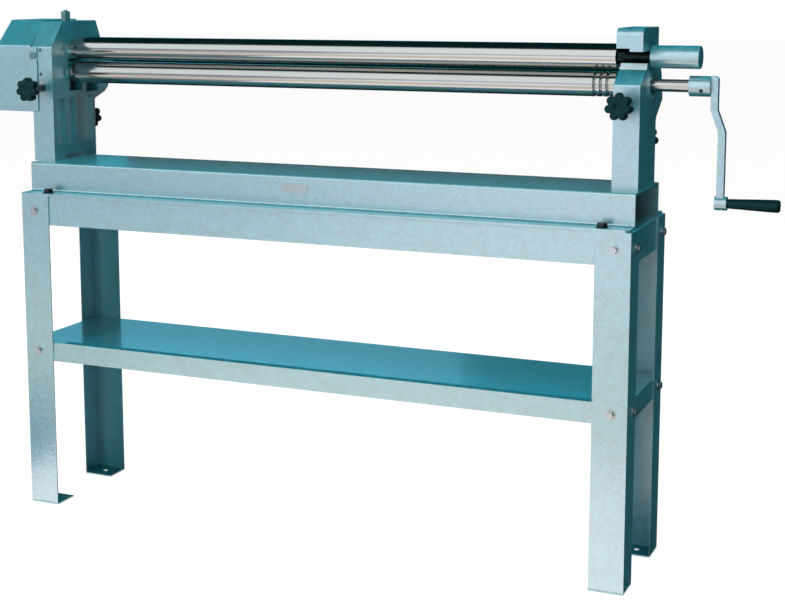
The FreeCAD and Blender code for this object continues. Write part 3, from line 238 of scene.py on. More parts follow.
level_card("dark_ceiling", -SIDE, CEILING_SPLIT, CEILING_FRONT, BACK, CEILING, DARK)
for name, y0, y1, colour in (("dark_front_ceiling", CEILING_FRONT, BEHIND, DARK),
                             ("grey_rear_ceiling", BEHIND, GREY_CEILING_END, REAR_GREY),
                             ("dark_rear_ceiling", GREY_CEILING_END, BACK, DARK)):
    level_card(name, CEILING_SPLIT, SIDE, y0, y1, CEILING, colour)
level_card("dark_back_floor", -SIDE, SIDE, BEHIND, BACK, LIFT, DARK)
level_card("under_floor", -SIDE, SIDE, FEET_FRONT, BEHIND, LIFT, DARK)
level_card("right_floor", FLOOR_END, SIDE, FRONT, FEET_FRONT, LIFT, DARK)
upright_card("rear_left", -SIDE, CEILING_FRONT, -SIDE, BACK, 0, CEILING, REAR_GREY)
for name, y0, y1, colour in (("dark_right", FRONT, BEHIND, DARK),
                             ("rear_right", BEHIND, GREY_WALL_END, REAR_GREY),
                             ("dark_rear_right", GREY_WALL_END, BACK, DARK)):
    upright_card(name, WALL, y0, WALL, y1, 0, WALL_TOP, colour)
upright_card("grey_behind_bed", -BED_CARD_REACH, BEHIND, BED_CARD_REACH, BEHIND, BED_CARD_LOW,
             BED_CARD_HIGH, BED_GREY)
print("room", 2 * SIDE, "m wide,", BACK - FRONT, "m deep,", CEILING, "m high at the back")

# %% [markdown]
# The back wall is cut into bands, and one is a bright blue, where a far window would be: the
# flat tops of the machine show it. In front lie a bright wall and a floor of three strips, a
# cool one close by, a warm one, and a cool one far off. They make the bright, beige and grey
# lines along each roll. Each is split in two, because the machine's left end shows a dimmer
# part of the room than its right end does.

# %% Cards on the back wall and in front
BAND_SPLIT, WALL_SPLIT, FLOOR_LEFT = -2.6, -3.2, -7.0
FRONT_WALL_LEFT, FRONT_WALL_RIGHT = -14.0, 9.0
DIM_LOW, BLUE_LOW, HIGH_WALL_LOW = 1.5, 2.35, 1.3  # heights at which the bands start
NEAR_END, WARM_END = -0.9, -2.4  # along Y, where the floor's strips end
for name, low, high, left, right in (
        ("dark_back", 0, DIM_LOW, DARK, DARK),
        ("dim_band", DIM_LOW, BLUE_LOW, (0.03, 0.17, 0.20), (0.02, 0.10, 0.12)),
        ("blue_band", BLUE_LOW, CEILING, (0.30, 1.08, 1.50), (0.05, 0.50, 0.70))):
    upright_card(name + "_left", -SIDE, BACK, BAND_SPLIT, BACK, low, high, left)
    upright_card(name + "_right", BAND_SPLIT, BACK, SIDE, BACK, low, high, right)
for name, y0, y1, split, left, right in (
        ("near_floor", NEAR_END, FEET_FRONT, -0.85, (0.28, 0.29, 0.38), (1.64, 1.55, 1.60)),
        ("warm_floor", WARM_END, NEAR_END, -1.2, (1.03, 1.00, 0.88), (1.03, 1.00, 0.88)),
        ("far_floor", FRONT, WARM_END, -1.6, (0.68, 0.66, 0.77), (1.48, 1.46, 1.56))):
    level_card(name + "_left", FLOOR_LEFT, split, y0, y1, LIFT, left)
    level_card(name + "_right", split, FLOOR_END, y0, y1, LIFT, right)
for name, low, high, left, right in (
        ("low_wall", 0, HIGH_WALL_LOW, (0.30, 0.33, 0.39), (0.70, 0.82, 0.95)),
        ("high_wall", HIGH_WALL_LOW, WALL_TOP, (1.20, 1.32, 1.36), (1.28, 1.38, 1.42))):
    upright_card(name + "_left", FRONT_WALL_LEFT, FRONT, WALL_SPLIT, FRONT, low, high, left)
    upright_card(name + "_right", WALL_SPLIT, FRONT, FRONT_WALL_RIGHT, FRONT, low, high, right)
print("blue band from", BLUE_LOW, "m up, warm floor", round(NEAR_END - WARM_END, 2), "m deep")

# %% [markdown]
# Under the bed and above the shelf a real room is dim, because the machine itself stands in
# the light. The cards cast no shadow, so three small shades just behind the machine's front
# keep the bright cards out of the reflections there.

# %% Shades under the bed
SHADE, SHADE_Y, BESIDE_Y = (0.0, 0.06, 0.08), -0.10, -0.12
LEG_INNER, LEG_OUTER, BESIDE_REACH = 0.62, 0.71, 3.0
SHELF_UNDER, SHELF_OVER, TOP_UNDER, STAND_HEIGHT = 0.335, 0.39, 0.65, 0.70
for name, low, high in (("shade_between_legs", 0, SHELF_UNDER),
                        ("shade_over_shelf", SHELF_OVER, TOP_UNDER)):
    upright_card(name, -LEG_INNER, SHADE_Y, LEG_INNER, SHADE_Y, low, high, SHADE)
upright_card("shade_beside", -BESIDE_REACH, BESIDE_Y, -LEG_OUTER, BESIDE_Y, 0, STAND_HEIGHT,
             SHADE)
print("shades", round(SHELF_UNDER + TOP_UNDER - SHELF_OVER, 3), "m high between the legs")

# %% [markdown]
# A broad soft lamp stands in front, low enough to reach under the bed, a cooler one hangs
# above, and a third lights the back. A lamp would show in the polished rolls as a hard white
# patch, so all are hidden from glossy rays: the cards already hold what the metal shows.

# %% Lamps
def lamp(name, place, aim, size, watts, colour=(1, 1, 1)):
    """A rectangular soft light at a place, turned to face the aim."""
    light = bpy.data.lights.new(name, "AREA")
    light.shape = "RECTANGLE"
    light.size, light.size_y = size
    light.energy = watts
    light.color = colour
    made = bpy.data.objects.new(name, light)
    scene.collection.objects.link(made)
    toward = (Vector(place) - Vector(aim)).to_track_quat("Z", "Y")
    made.matrix_world = Matrix.Translation(place) @ toward.to_matrix().to_4x4()
    made.visible_glossy = False


lamp("key", place=(-0.4, -4.6, 1.1), aim=(0, 0, 0.55), size=(4.2, 2.0), watts=150)
lamp("rear", place=(-1.6, 3.6, 1.6), aim=(0, 0, 0.6), size=(3.0, 2.0), watts=110)
lamp("top", place=(0, -0.6, 3.4), aim=(0, 0.1, 0.8), size=(3.6, 2.4), watts=150,
     colour=(0.86, 0.95, 1))
print("lamps:", len(bpy.data.lights))

# %% [markdown]
# ## Finishes
# Every finish reads the piece's own Object coordinates, so a pattern keeps its true size in
# metres on every piece and stays still on the ones that move.
#
# The knobs and the grip are moulded in black plastic. A mould's sand-blasted skin breaks up
# the gloss, and one fine noise does that for both the roughness and a shallow bump.

# %% Black plastic
def finish(name, **values):
    """A new material: its node tree, its shader with constants set, and its coordinates."""
    mat = bpy.data.materials.new(name)
    mat.use_nodes = True
    tree = mat.node_tree
    shader = tree.nodes["Principled BSDF"]
    for socket, value in values.items():
        shader.inputs[socket.replace("_", " ")].default_value = value
    return mat, tree, shader, node(tree, "TexCoord").outputs["Object"]


def noise(tree, where, scale, detail=2.0, stretch=None, rough=0.5):
    """Soft random blotches, scale per metre, stretched along an axis where asked."""
    if stretch is not None:
        lay = node(tree, "Mapping", Scale=stretch)
        tree.links.new(where, lay.inputs["Vector"])
        where = lay.outputs[0]
    made = node(tree, "TexNoise", Scale=scale, Detail=detail, Roughness=rough)
    tree.links.new(where, made.inputs["Vector"])
    return made.outputs["Fac"]


def span(tree, value, low, high, to_low=0.0, to_high=1.0):
    """Maps low..high of a value to to_low..to_high, and clamps it there."""
    made = node(tree, "MapRange")
    for name, number in zip(("From Min", "From Max", "To Min", "To Max"),
                            (low, high, to_low, to_high)):
        made.inputs[name].default_value = number
    tree.links.new(value, made.inputs["Value"])
    return made.outputs[0]


def bump(tree, shader, height, distance, strength):
    """Tilts the surface by a height pattern, distance being its depth in metres."""
    made = node(tree, "Bump", Strength=strength, Distance=distance)
    tree.links.new(height, made.inputs["Height"])
    tree.links.new(made.outputs[0], shader.inputs["Normal"])


GRAINS, GRAIN_DEPTH, GRAIN_BUMP, GRAIN_RANGE = 1400.0, 0.00004, 0.4, (0.3, 0.7)
SHEEN, SHEEN_TINT, GLOSS_VARIES = 0.3, (0.25, 0.75, 0.85, 1), 0.06


def moulded(name, colour, rough):
    """Black plastic with fine grain: where the grain is high, the skin is a little rougher."""
    mat, tree, shader, where = finish(name, Base_Color=(*colour, 1), Roughness=rough,
                                      Specular_IOR_Level=SHEEN, Specular_Tint=SHEEN_TINT)
    grain = noise(tree, where, GRAINS)
    gloss = span(tree, grain, *GRAIN_RANGE, rough - GLOSS_VARIES, rough + GLOSS_VARIES)
    tree.links.new(gloss, shader.inputs["Roughness"])
    bump(tree, shader, grain, GRAIN_DEPTH, GRAIN_BUMP)
    return mat


knob_black = moulded("black_knob_plastic", (0.001, 0.009, 0.011), rough=0.34)
print("plastic:", knob_black.name)

# %% [markdown]
# The rolls are ground steel, and a wheel leaves fine lines round a bar. Anisotropic shading
# could fake the lines, but a noise drawn out across the bar shows them at their true size. A
# slow smudge, as from an oily hand, varies the gloss. The same recipe with other tones gives
# the zinc on the stand's bolts, the black oxide on the bed's bolts, the bronze of the rear
# nuts and the satin plate. Past a point along X, the top roll's right journal is painted near
# black, as painted shade and a painted dark reflection of the latch above it, so one finish
# changes along X.

# %% Metals
# The near-black colour below is painted shade and a painted dark reflection on the top roll's
# journal under the latch.
PAINTED_SHADE, PAINTED_SHADE_STARTS, PAINTED_SHADE_BLENDS = (0.012, 0.018, 0.02), 0.6255, 0.001
GRIND_STRETCH, GRIND_DEPTH, SMUDGES, SMUDGE_DARKER = (1, 0.02, 0.02), 0.00001, 9.0, 0.92
GRIND_BUMP, METAL_DETAIL, TONE_RANGE = 0.3, 3.0, (0.1, 0.4)


def tint(tree, factor, first, second):
    """Blends two colours by a factor."""
    made = node(tree, "Mix", data_type="RGBA")
    made.inputs["A"].default_value = (*first, 1)
    made.inputs["B"].default_value = (*second, 1)
    tree.links.new(factor, made.inputs["Factor"])
    return made.outputs["Result"]


def ground_metal(name, colour, grain, smoothest, roughest, painted_shade_from=None):
    """Ground metal: fine lines round the piece, grain per metre, vary its gloss and tilt it a
    little. Beyond painted_shade_from along X the colour turns near black: painted shade and a
    painted dark reflection."""
    mat, tree, shader, where = finish(name, Metallic=1.0)
    lines = noise(tree, where, grain, METAL_DETAIL, GRIND_STRETCH)
    smudge = noise(tree, where, SMUDGES, METAL_DETAIL)
    tone = node(tree, "Math", operation="MULTIPLY")
    tree.links.new(lines, tone.inputs[0])
    tree.links.new(smudge, tone.inputs[1])
    gloss = span(tree, tone.outputs[0], *TONE_RANGE, smoothest, roughest)
    tree.links.new(gloss, shader.inputs["Roughness"])
    if painted_shade_from is None:
        shade = tint(tree, smudge, colour, [c * SMUDGE_DARKER for c in colour])
    else:
        along = node(tree, "SeparateXYZ")
        tree.links.new(where, along.inputs[0])
        past = span(tree, along.outputs["X"], painted_shade_from, painted_shade_from + PAINTED_SHADE_BLENDS)
        shade = tint(tree, past, colour, PAINTED_SHADE)
    tree.links.new(shade, shader.inputs["Base Color"])
    bump(tree, shader, lines, GRIND_DEPTH, GRIND_BUMP)
    return mat


STEEL = (0.50, 0.495, 0.475)
bright = ground_metal("polished_roll_steel", STEEL, 900.0, 0.10, 0.2)
# This copy paints the latch's shade and dark reflection onto the top roll's right journal.
bright_painted_shade_end = ground_metal("polished_steel_painted_shade_journal", STEEL, 900.0, 0.10, 0.2,
                                PAINTED_SHADE_STARTS)
zinc = ground_metal("zinc_plate", (0.52, 0.54, 0.56), 500.0, 0.22, 0.38)
dark = ground_metal("black_oxide_steel", (0.05, 0.055, 0.06), 400.0, 0.3, 0.5)
bronze = ground_metal("bearing_bronze", (0.62, 0.42, 0.18), 400.0, 0.25, 0.4)
plate = ground_metal("satin_plate", (0.50, 0.54, 0.56), 700.0, 0.3, 0.4)
print("metals:", [mat.name for mat in (bright, bright_painted_shade_end, zinc, dark, bronze, plate)])

# %% [markdown]
# Hammered enamel is a teal pigment with fine silver leaf in it. The leaf mirrors the room
# more than plain paint does, so the index of refraction is set high and the colour deep:
# faces that see a bright wall turn pale, and the others stay teal. The paint dries in small
# dimples, each a few millimetres wide, where the pigment gathers. Smooth Voronoi cells give
# the dimples, both as a shallow bump and as a slightly darker tone, and slower noise gives
# the pools of deeper colour between them. A duller, darker coat covers the gears, the inner
# blocks and the small painted screws.

# %% Hammered enamel
DIMPLES, DIMPLE_DEPTH, DIMPLE_BUMP, DIMPLE_ROUND = 150.0, 0.0003, 0.5, 0.6
DIMPLE_DRIFT, CLOUDS_PER_DIMPLE, DIMPLE_RANGE = 0.004, 0.6, (0.15, 0.6)
POOLS, POOL_STRETCH, POOL_DETAIL, POOL_ROUGH = 90.0, (1, 0.35, 1), 3.0, 0.6
POOL_RANGE, POOL_SHARE = (0.35, 0.65), 0.6
COAT, COAT_ROUGH = 0.5, 0.12


def hammered(name, pale, deep, rough, ior):
    """Enamel: a cloud of noise drifts the coordinates, Voronoi cells make dimples on them,
    and the tone is a mix of dimples and pools between the deep and the pale colour."""
    mat, tree, shader, where = finish(name, Roughness=rough, IOR=ior, Coat_Weight=COAT,
                                      Coat_Roughness=COAT_ROUGH)
    cloud = node(tree, "TexNoise", Scale=DIMPLES * CLOUDS_PER_DIMPLE, Detail=1.0)
    tree.links.new(where, cloud.inputs["Vector"])
    drift = node(tree, "VectorMath", operation="MULTIPLY_ADD")
    drift.inputs[1].default_value = (DIMPLE_DRIFT,) * 3
    tree.links.new(cloud.outputs["Color"], drift.inputs[0])
    tree.links.new(where, drift.inputs[2])
    dimple = node(tree, "TexVoronoi", feature="SMOOTH_F1", Scale=DIMPLES,
                  Smoothness=DIMPLE_ROUND)
    tree.links.new(drift.outputs[0], dimple.inputs["Vector"])
    spots = span(tree, dimple.outputs["Distance"], *DIMPLE_RANGE)
    blotches = noise(tree, where, POOLS, POOL_DETAIL, POOL_STRETCH, POOL_ROUGH)
    pools = span(tree, blotches, *POOL_RANGE)
    share = node(tree, "Mix", Factor=POOL_SHARE)
    tree.links.new(spots, share.inputs["A"])
    tree.links.new(pools, share.inputs["B"])
    tone = tint(tree, share.outputs["Result"], deep, pale)
    tree.links.new(tone, shader.inputs["Base Color"])
    bump(tree, shader, spots, DIMPLE_DEPTH, DIMPLE_BUMP)
    return mat


enamel = hammered("hammered_enamel", pale=(0.004, 0.222, 0.275), deep=(0.0005, 0.098, 0.122),
                  rough=0.31, ior=4.2)
brushed_on = hammered("brushed_on_enamel", pale=(0.004, 0.10, 0.11), deep=(0.001, 0.05, 0.06),
                      rough=0.4, ior=2.2)
print("dimples %.1f mm wide" % (1000 / DIMPLES))

# %% [markdown]
# The record names a material slot for every piece of the construction. One table from slot
# to finish dresses them all, and the finer pieces further down use the same table.

# %% Finishes on the construction
FINISHES = {"stand_paint": enamel, "machine_paint": enamel, "cast_block": brushed_on,
            "screw_paint": brushed_on, "polished_steel": bright, "zinc_steel": zinc,
            "dark_steel": dark, "bronze": bronze, "plate_metal": plate,
            "black_plastic": knob_black}
SLOT = {part["node"]: part["material_slot"] for part in frame["record"]["subparts"]}
for node_name, slot in SLOT.items():
    held = nodes[node_name].data.materials
    held.clear()
    held.append(FINISHES[slot])
print("slots:", len(FINISHES), "on", len(SLOT), "pieces")

# %% [markdown]
# ## Soft edges
# Cast iron leaves its mould with soft corners, and folded sheet has a bend radius. Those
# thin rounded lines catch the light, so every casting and sheet gets them. They could be
# drawn by hand, but a Bevel modifier on a welded copy keeps every true size. An edge is
# rounded by at most a third of the narrower face beside it, so a thin rim stays a rim.
# To say which edges are sharp, the turn between the two faces beside each is measured first.

# %% Facts about edges
def read(items, what, width, kind=float):
    """One property of all items as an array with width columns."""
    values = np.empty(len(items) * width, kind)
    items.foreach_get(what, values)
    return values.reshape(-1, width) if width > 1 else values


def edge_facts(mesh):
    """Each edge's ends, length, turn between its two faces, and its narrower face's width,
    where the width of a face is twice its area over its perimeter."""
    points, ends = read(mesh.vertices, "co", 3), read(mesh.edges, "vertices", 2, int)
    length = np.linalg.norm(points[ends[:, 0]] - points[ends[:, 1]], axis=1)
    edge_of = read(mesh.loops, "edge_index", 1, int)
    face_of = np.repeat(np.arange(len(mesh.polygons)), read(mesh.polygons, "loop_total", 1, int))
    normal, area = read(mesh.polygons, "normal", 3), read(mesh.polygons, "area", 1)
    width = 2 * area / np.bincount(face_of, length[edge_of], len(area))
    used = np.bincount(edge_of, minlength=len(ends))
    beside = face_of[np.argsort(edge_of, kind="stable")]
    first = np.cumsum(used) - used
    a, b = beside[first], beside[np.minimum(first + 1, len(beside) - 1)]
    turn = np.degrees(np.arccos(np.clip((normal[a] * normal[b]).sum(1), -1, 1)))
    turn[used != 2] = 0
    return ends, length, turn, np.minimum(width[a], width[b])


print("the bed has", len(edge_facts(nodes["bed"].data)[0]), "edges before it is welded")

# %% [markdown]
# Sharp edges that touch form a run, such as the rim of a face or of a hole. Only runs with
# a long edge are rounded, so small holes keep a crisp rim. A bevel's narrow strips would
# drag the shading of the flat faces beside them into a gradient, so the normals are weighted
# by face area afterwards, which keeps a big flat face flat.

# %% Welded, softened copies
BODY = {name: body for body, names in frame["record"]["behaviour"]["bodies"].items()
        for name in names}
MM = 0.001
WELD, FLAT_TURN, SHARP = 2e-6, 0.6, 30.0
BEVEL_STEPS, BEVEL_SHARE, FACE_WEIGHT = 3, 0.33, 100
LONG_EDGE, LONG_EDGE_SMALL = 0.012, 0.004
SMALL_RADIUS = 1.0  # a piece with edges finer than this is small, and shorter edges count


def runs(ends, count):
    """A label for every point, the same along edges that touch: labels sink to the lowest
    one they meet until none changes."""
    label = np.arange(count)
    while True:
        low = np.minimum(label[ends[:, 0]], label[ends[:, 1]])
        sunk = label.copy()
        np.minimum.at(sunk, ends[:, 0], low)
        np.minimum.at(sunk, ends[:, 1], low)
        sunk = sunk[sunk]
        if np.array_equal(sunk, label):
            return label
        label = sunk


def stand_for(piece, node_name):
    """The piece takes the place, the body and the material slot of a frame node."""
    piece.data.materials.clear()
    piece.data.materials.append(FINISHES[SLOT[node_name]])
    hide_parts(node_name)
    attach(piece, BODY[node_name])
    return piece


def welded(node_name):
    """A copy of a node's mesh with its loose triangles joined and flat faces merged."""
    build = bmesh.new()
    build.from_mesh(nodes[node_name].data)
    bmesh.ops.remove_doubles(build, verts=build.verts, dist=WELD)
    bmesh.ops.dissolve_limit(build, angle_limit=math.radians(FLAT_TURN), verts=build.verts,
                             edges=build.edges)
    mesh = bpy.data.meshes.new(node_name + "_soft")
    build.to_mesh(mesh)
    build.free()
    return mesh


def softened(node_name, radius, shortest):
    """A welded copy whose runs of sharp edges are rounded, where a run holds an edge longer
    than shortest."""
    mesh = welded(node_name)
    ends, length, turn, width = edge_facts(mesh)
    sharp = turn > SHARP
    label = runs(ends[sharp], len(mesh.vertices))
    longest = np.zeros(len(mesh.vertices))
    np.maximum.at(longest, label[ends[sharp, 0]], length[sharp])
    chosen = sharp & (longest[label[ends[:, 0]]] > shortest)
    weight = np.where(chosen, np.minimum(1, BEVEL_SHARE * width / radius), 0)
    mesh.attributes.new("bevel_weight_edge", "FLOAT", "EDGE").data.foreach_set("value", weight)
    mesh.shade_smooth()
    if "sharp_edge" in mesh.attributes:
        mesh.attributes.remove(mesh.attributes["sharp_edge"])
    crisp = mesh.attributes.new("sharp_edge", "BOOLEAN", "EDGE")
    crisp.data.foreach_set("value", sharp & ~chosen)
    piece = bpy.data.objects.new(node_name + "_soft", mesh)
    scene.collection.objects.link(piece)
    if chosen.any():
        soft = piece.modifiers.new("soft edges", "BEVEL")
        soft.limit_method = "WEIGHT"
        soft.width, soft.segments = radius, BEVEL_STEPS
        soft.use_clamp_overlap = True
    flat = piece.modifiers.new("flat faces stay flat", "WEIGHTED_NORMAL")
    flat.mode, flat.weight, flat.keep_sharp = "FACE_AREA", FACE_WEIGHT, True
    return stand_for(piece, node_name)


SOFT = {  # the radius of each piece's rounded edges, in millimetres
    "leg_front_left": 2.5, "leg_front_right": 2.5, "leg_back_left": 2.5,
    "leg_back_right": 2.5, "stand_top": 2.5, "shelf": 2.5, "bed": 1.0, "left_head": 3.0,
    "right_head": 3.0, "gear_cover": 3.0, "latch": 5.0, "crank_arm": 2.0,
    "blank_plate": 0.3, "cover_screws": 0.8, "clamp_stud": 0.8, "bearing_cap": 0.8,
    "bed_bolts": 0.8, "stand_bolts": 0.6, "head_bolts": 0.8}
for node_name, radius in SOFT.items():
    shortest = LONG_EDGE_SMALL if radius < SMALL_RADIUS else LONG_EDGE
    piece = softened(node_name, radius * MM, shortest)
    turns = edge_facts(piece.data)[2]
    print(node_name, len(piece.data.polygons), "faces,", int((turns > SHARP).sum()), "sharp")

# %% [markdown]
# ## The three rolls
# Each roll is one bar of steel, turned and ground, with a chamfer at both ends and thinner
# journals. The pinch roll has three round grooves for rolling wire. The frame's rolls are
# a little faceted, and a polished bar shows every facet in its reflections, so the rolls
# are swept again as half outlines round an axis, with many more steps.

# %% A lathe
def quads(rows, columns, closed_rows=False):
    """Index rows of the four-cornered faces of a grid whose columns close into a ring."""
    grid = np.arange(rows * columns).reshape(rows, columns)
    grid = np.c_[grid, grid[:, :1]]
    if closed_rows:
        grid = np.r_[grid, grid[:1]]
    corners = grid[:-1, :-1], grid[1:, :-1], grid[1:, 1:], grid[:-1, 1:]
    return np.stack(corners, -1).reshape(-1, 4)


def shell(name, points, faces, sharp=SHARP):
    """A smooth-shaded mesh object, faces outwards, from points in millimetres."""
    mesh = bpy.data.meshes.new(name)
    mesh.from_pydata((points * MM).tolist(), [], faces)
    build = bmesh.new()
    build.from_mesh(mesh)
    bmesh.ops.recalc_face_normals(build, faces=build.faces)
    build.to_mesh(mesh)
    build.free()
    mesh.shade_smooth()
    mesh.set_sharp_from_angle(angle=math.radians(sharp))
    made = bpy.data.objects.new(name, mesh)
    scene.collection.objects.link(made)
    return made


def end_caps(rows, around):
    """The two flat faces that close a tube of rows rings."""
    return [list(range(around)), list(range((rows - 1) * around, rows * around))]


def lathe(name, outline, centre, around, closed=False):
    """A solid of revolution about X: x runs along the outline, and y, z are its radius times
    the sine and cosine of the angle. An open outline gets a flat face at each end."""
    outline = np.asarray(outline, float)
    angle = np.linspace(0, 2 * math.pi, around, endpoint=False)
    x = np.repeat(outline[:, :1], around, 1)
    y = centre[1] + outline[:, 1:] * np.sin(angle)
    z = centre[2] + outline[:, 1:] * np.cos(angle)
    points = np.stack([x, y, z], -1).reshape(-1, 3)
    faces = quads(len(outline), around, closed).tolist()
    if not closed:
        faces += end_caps(len(outline), around)
    return shell(name, points, faces)


print("a tube of 3 rings of 8 points has", len(quads(3, 8)) + len(end_caps(3, 8)), "faces")

# %% [markdown]
# A lathe tool never leaves a perfectly sharp corner. Each corner of an outline is therefore
# cut back a little and bridged by a short parabola, which needs fewer words than an arc.

# %% Rolls
ROLL_RADIUS, ROLL_START, ROLL_STOP = 25.0, -647.3, 626.4
LEFT_CHAMFER, RIGHT_CHAMFER = 3.0, 1.0
GROOVES = (582.3, 595.6, 608.9)
GROOVE = ((-2.6, 0), (-2.4, 1.8), (0, 3.2), (2.4, 1.8), (2.6, 0))  # along X, and how deep
GEAR_TIP, NUT_STOP, GEAR_STOP = -784.0, -769.0, -735.0
NUT_THREAD, GEAR_SEAT, TIP_BREAK = 10.0, 11.0, 1.0
TOP_LEFT, TOP_RIGHT, TOP_NECK, TOP_NECK_START, TOP_TIP = 15.0, 16.0, 14.0, 692.0, 776.0
PINCH_JOURNAL, PINCH_NECK, PINCH_TIP, PINCH_TIP_RADIUS = 13.0, 12.25, 803.6, 11.7
PINCH_NECK_START = 685.0  # a little early, so that the journal clears the head at full lift
BENDING_JOURNAL, BENDING_START, BENDING_STOP, SMALL_BREAK = 10.0, -711.0, 653.4, 0.5
CORNER, CORNER_STEPS, ROLL_STEPS = 0.8, 3, 160
RUN_SHARE = 0.45  # a corner takes at most this share of each run beside it


def rounded(corners, radius, steps):
    """Each corner between two runs becomes a short parabola from one run to the other:
    (1-t)^2 start + 2t(1-t) corner + t^2 end, starting radius away or at under half a run."""
    corners = np.asarray(corners, float)
    before, here, after = corners[:-2], corners[1:-1], corners[2:]
    t = np.linspace(0, 1, steps + 1)[:, None]
    ends = []
    for other in (before, after):
        run = other - here
        length = np.linalg.norm(run, axis=1, keepdims=True)
        ends.append((here + run * np.minimum(radius / length, RUN_SHARE))[:, None])
    bends = (1 - t) ** 2 * ends[0] + 2 * t * (1 - t) * here[:, None] + t ** 2 * ends[1]
    return np.r_[corners[:1], bends.reshape(-1, 2), corners[-1:]]


def gear_end(journal):
    """The left end of a driven roll: a thread for the gear's nut, the gear's seat, and the
    step up to the journal."""
    return [(GEAR_TIP, NUT_THREAD - TIP_BREAK), (GEAR_TIP + TIP_BREAK, NUT_THREAD),
            (NUT_STOP, NUT_THREAD), (NUT_STOP, GEAR_SEAT), (GEAR_STOP, GEAR_SEAT),
            (GEAR_STOP, journal)]


def barrel(left, right, grooves=()):
    """The roll's outline from one journal to the other, with round-bottomed grooves."""
    cut = [(x + along, ROLL_RADIUS - deep) for x in grooves for along, deep in GROOVE]
    return [(ROLL_START, left), (ROLL_START, ROLL_RADIUS - LEFT_CHAMFER),
            (ROLL_START + LEFT_CHAMFER, ROLL_RADIUS), *cut,
            (ROLL_STOP - RIGHT_CHAMFER, ROLL_RADIUS), (ROLL_STOP, ROLL_RADIUS - RIGHT_CHAMFER),
            (ROLL_STOP, right)]


ROLLS = {
    "top_roll": [*gear_end(TOP_LEFT), *barrel(TOP_LEFT, TOP_RIGHT),
                 (TOP_NECK_START, TOP_RIGHT), (TOP_NECK_START, TOP_NECK),
                 (TOP_TIP - TIP_BREAK, TOP_NECK), (TOP_TIP, TOP_NECK - TIP_BREAK)],
    "pinch_roll": [*gear_end(PINCH_JOURNAL), *barrel(PINCH_JOURNAL, PINCH_JOURNAL, GROOVES),
                   (PINCH_NECK_START, PINCH_JOURNAL), (PINCH_NECK_START, PINCH_NECK),
                   (PINCH_TIP - SMALL_BREAK, PINCH_NECK), (PINCH_TIP, PINCH_TIP_RADIUS)],
    "bending_roll": [(BENDING_START, BENDING_JOURNAL - SMALL_BREAK),
                     (BENDING_START + SMALL_BREAK, BENDING_JOURNAL),
                     *barrel(BENDING_JOURNAL, BENDING_JOURNAL),
                     (BENDING_STOP - SMALL_BREAK, BENDING_JOURNAL),
                     (BENDING_STOP, BENDING_JOURNAL - SMALL_BREAK)]}
AXIS = {joint["child"]: np.array(joint["pos_m"]) / MM
        for joint in frame["record"]["behaviour"]["joints"] if joint["type"] == "hinge"}
for node_name, outline in ROLLS.items():
    outline = rounded(outline, CORNER, CORNER_STEPS)
    roll = lathe(node_name + "_ground", outline, AXIS[BODY[node_name]], ROLL_STEPS)
    stand_for(roll, node_name)
    if node_name == "top_roll":
        roll.data.materials[0] = bright_painted_shade_end
    print(node_name, "%.0f mm long" % (outline[-1, 0] - outline[0, 0]))

# %% [markdown]
# ## Turned pieces
# The crank's grip and the sleeve at the end of the top roll come off a lathe too. The grip
# swells towards its free end, where a recess hides the head of its pin, so its outline is
# closed: it runs out along the skin and back through the bore.

# %% Grip
PIN_BORE, PIN_HEAD_BORE, RECESS = 5.1, 8.2, 5.0
GRIP_SKIN = ((0, 9.0), (6, 9.6), (28, 10.3), (62, 11.6))  # from the crank on, and radius
GRIP_END = ((12, 12.4), (4, 12.45), (0, 11.0))  # before the free end, and radius
GRIP_CORNER, TURNED_STEPS, GRIP_STEPS = 2.2, 5, 72


def box_mm(node_name):
    """A frame node's lowest and highest corner in millimetres."""
    low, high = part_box(node_name)
    return np.array(low) / MM, np.array(high) / MM


low, high = box_mm("crank_grip")
start, end = low[0], high[0]
outer = [(start, PIN_BORE), *((start + along, radius) for along, radius in GRIP_SKIN),
         *((end - back, radius) for back, radius in GRIP_END)]
inner = [(end, PIN_HEAD_BORE), (end - RECESS, PIN_HEAD_BORE), (end - RECESS, PIN_BORE)]
outline = np.r_[rounded(outer + inner[:1], GRIP_CORNER, TURNED_STEPS), inner[1:]]
grip = lathe("crank_grip_turned", outline, (low + high) / 2, GRIP_STEPS, closed=True)
stand_for(grip, "crank_grip")
print("grip", round(float(end - start)), "mm long")

# %% [markdown]
# The sleeve is a cup: its bore takes the top roll's neck, and its closed end is what a hand
# pulls when the roll is lifted out. Its outline starts and ends at a pole, where a tiny flat
# face closes the surface.

# %% Lifting sleeve
SLEEVE_BORE, SLEEVE_WALL, POLE = 14.05, 11.0, 0.02
SLEEVE_CORNER, SLEEVE_STEPS = 2.0, 96
low, high = box_mm("lift_sleeve")
left, right, bottom = low[0], high[0], high[0] - SLEEVE_WALL
skin = (high[2] - low[2]) / 2
cup = [(bottom, SLEEVE_BORE), (left, SLEEVE_BORE), (left, skin), (right, skin), (right, POLE)]
outline = np.r_[[(bottom, POLE)], rounded(cup, SLEEVE_CORNER, TURNED_STEPS)]
sleeve = lathe("lift_sleeve_turned", outline, (low + high) / 2, SLEEVE_STEPS)
stand_for(sleeve, "lift_sleeve")
print("sleeve", round(2 * float(skin)), "mm thick")

# %% [markdown]
# ## Star knobs
# The four knobs are moulded with seven lobes, so that oily fingers can turn them. Round
# each ring of the knob the radius swells at the lobes, and the swelling fades towards the
# domed face and the stem. One grid of rings by angles holds face, lobes and stem.

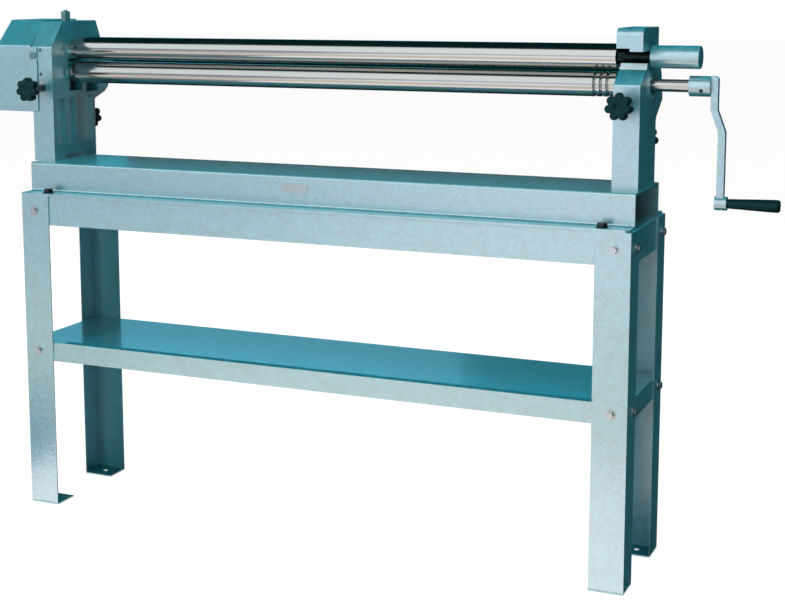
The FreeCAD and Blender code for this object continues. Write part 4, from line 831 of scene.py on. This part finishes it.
# %% Star knobs
LOBES, LOBE_REACH, LOBE, CORE, BLEND_POWER = 7, 19.5, 7.9, 20.3, 16
STEM, STEM_END, STEM_BREAK, WIDEST = 8.5, 8.1, 0.02, 27.5
STEPS_PER_LOBE, KNOB_SHARP, FRONT_THICK, REAR_THICK = 24, 45.0, 22.0, 18.0
KNOB = np.array([  # depth behind the face as a share of the thickness, radius, lobe share
    (0.10, 0.4, 0), (0.10, 5.5, 0), (0.06, 7.0, 0), (0.02, 8.5, 0), (0, 11, 0), (0, 14, 0.05),
    (0.01, 16.5, 0.3), (0.035, 18.2, 0.62), (0.09, 19.5, 0.88), (0.17, 20.1, 0.98),
    (0.3, CORE, 1), (0.7, CORE, 1), (0.83, 20.1, 0.98), (0.92, 19.4, 0.85), (0.975, 17.8, 0.5),
    (1, 15, 0.1), (1, 12, 0), (1.02, 10.2, 0), (1.08, 9.0, 0), (1.18, STEM, 0)])


def star(angle):
    """Radius of a lobed outline: the distance to a circle of radius LOBE that stands
    LOBE_REACH out, blended smoothly with a round core by a high power mean."""
    off = (angle + math.pi / LOBES) % (2 * math.pi / LOBES) - math.pi / LOBES
    inside = np.maximum(LOBE ** 2 - (LOBE_REACH * np.sin(off)) ** 2, 0)
    lobe = LOBE_REACH * np.cos(off) + np.sqrt(inside)
    return (CORE ** BLEND_POWER + lobe ** BLEND_POWER) ** (1 / BLEND_POWER)


def star_knob(node_name, toward, thick):
    """A knob whose face looks along toward (-1 or +1) in Y: radius = ring radius + lobe
    share times what the star outline adds to its core."""
    low, high = box_mm(node_name)
    face, root = (low[1], high[1]) if toward < 0 else (high[1], low[1])
    x, z = (low[0] + high[0]) / 2, high[2] - WIDEST
    angle = np.linspace(0, 2 * math.pi, LOBES * STEPS_PER_LOBE, endpoint=False)
    depth = abs(root - face) / thick
    rings = np.r_[KNOB, [(depth - STEM_BREAK, STEM, 0), (depth, STEM_END, 0)]]
    radius = rings[:, 1:2] + rings[:, 2:] * (star(angle)[None] - CORE)
    y = np.repeat(face - toward * rings[:, :1] * thick, len(angle), 1)
    points = np.stack([x + radius * np.sin(angle), y, z + radius * np.cos(angle)], -1)
    faces = quads(len(rings), len(angle)).tolist() + end_caps(len(rings), len(angle))
    knob = shell(node_name + "_moulded", points.reshape(-1, 3), faces, KNOB_SHARP)
    return stand_for(knob, node_name)


for node_name, toward, thick in (("left_front_knob", -1, FRONT_THICK),
                                 ("right_front_knob", -1, FRONT_THICK),
                                 ("left_rear_knob", 1, REAR_THICK),
                                 ("right_rear_knob", 1, REAR_THICK)):
    star_knob(node_name, toward, thick)
print("knobs: widest radius", round(float(star(np.array([0.0]))[0]), 1), "mm")
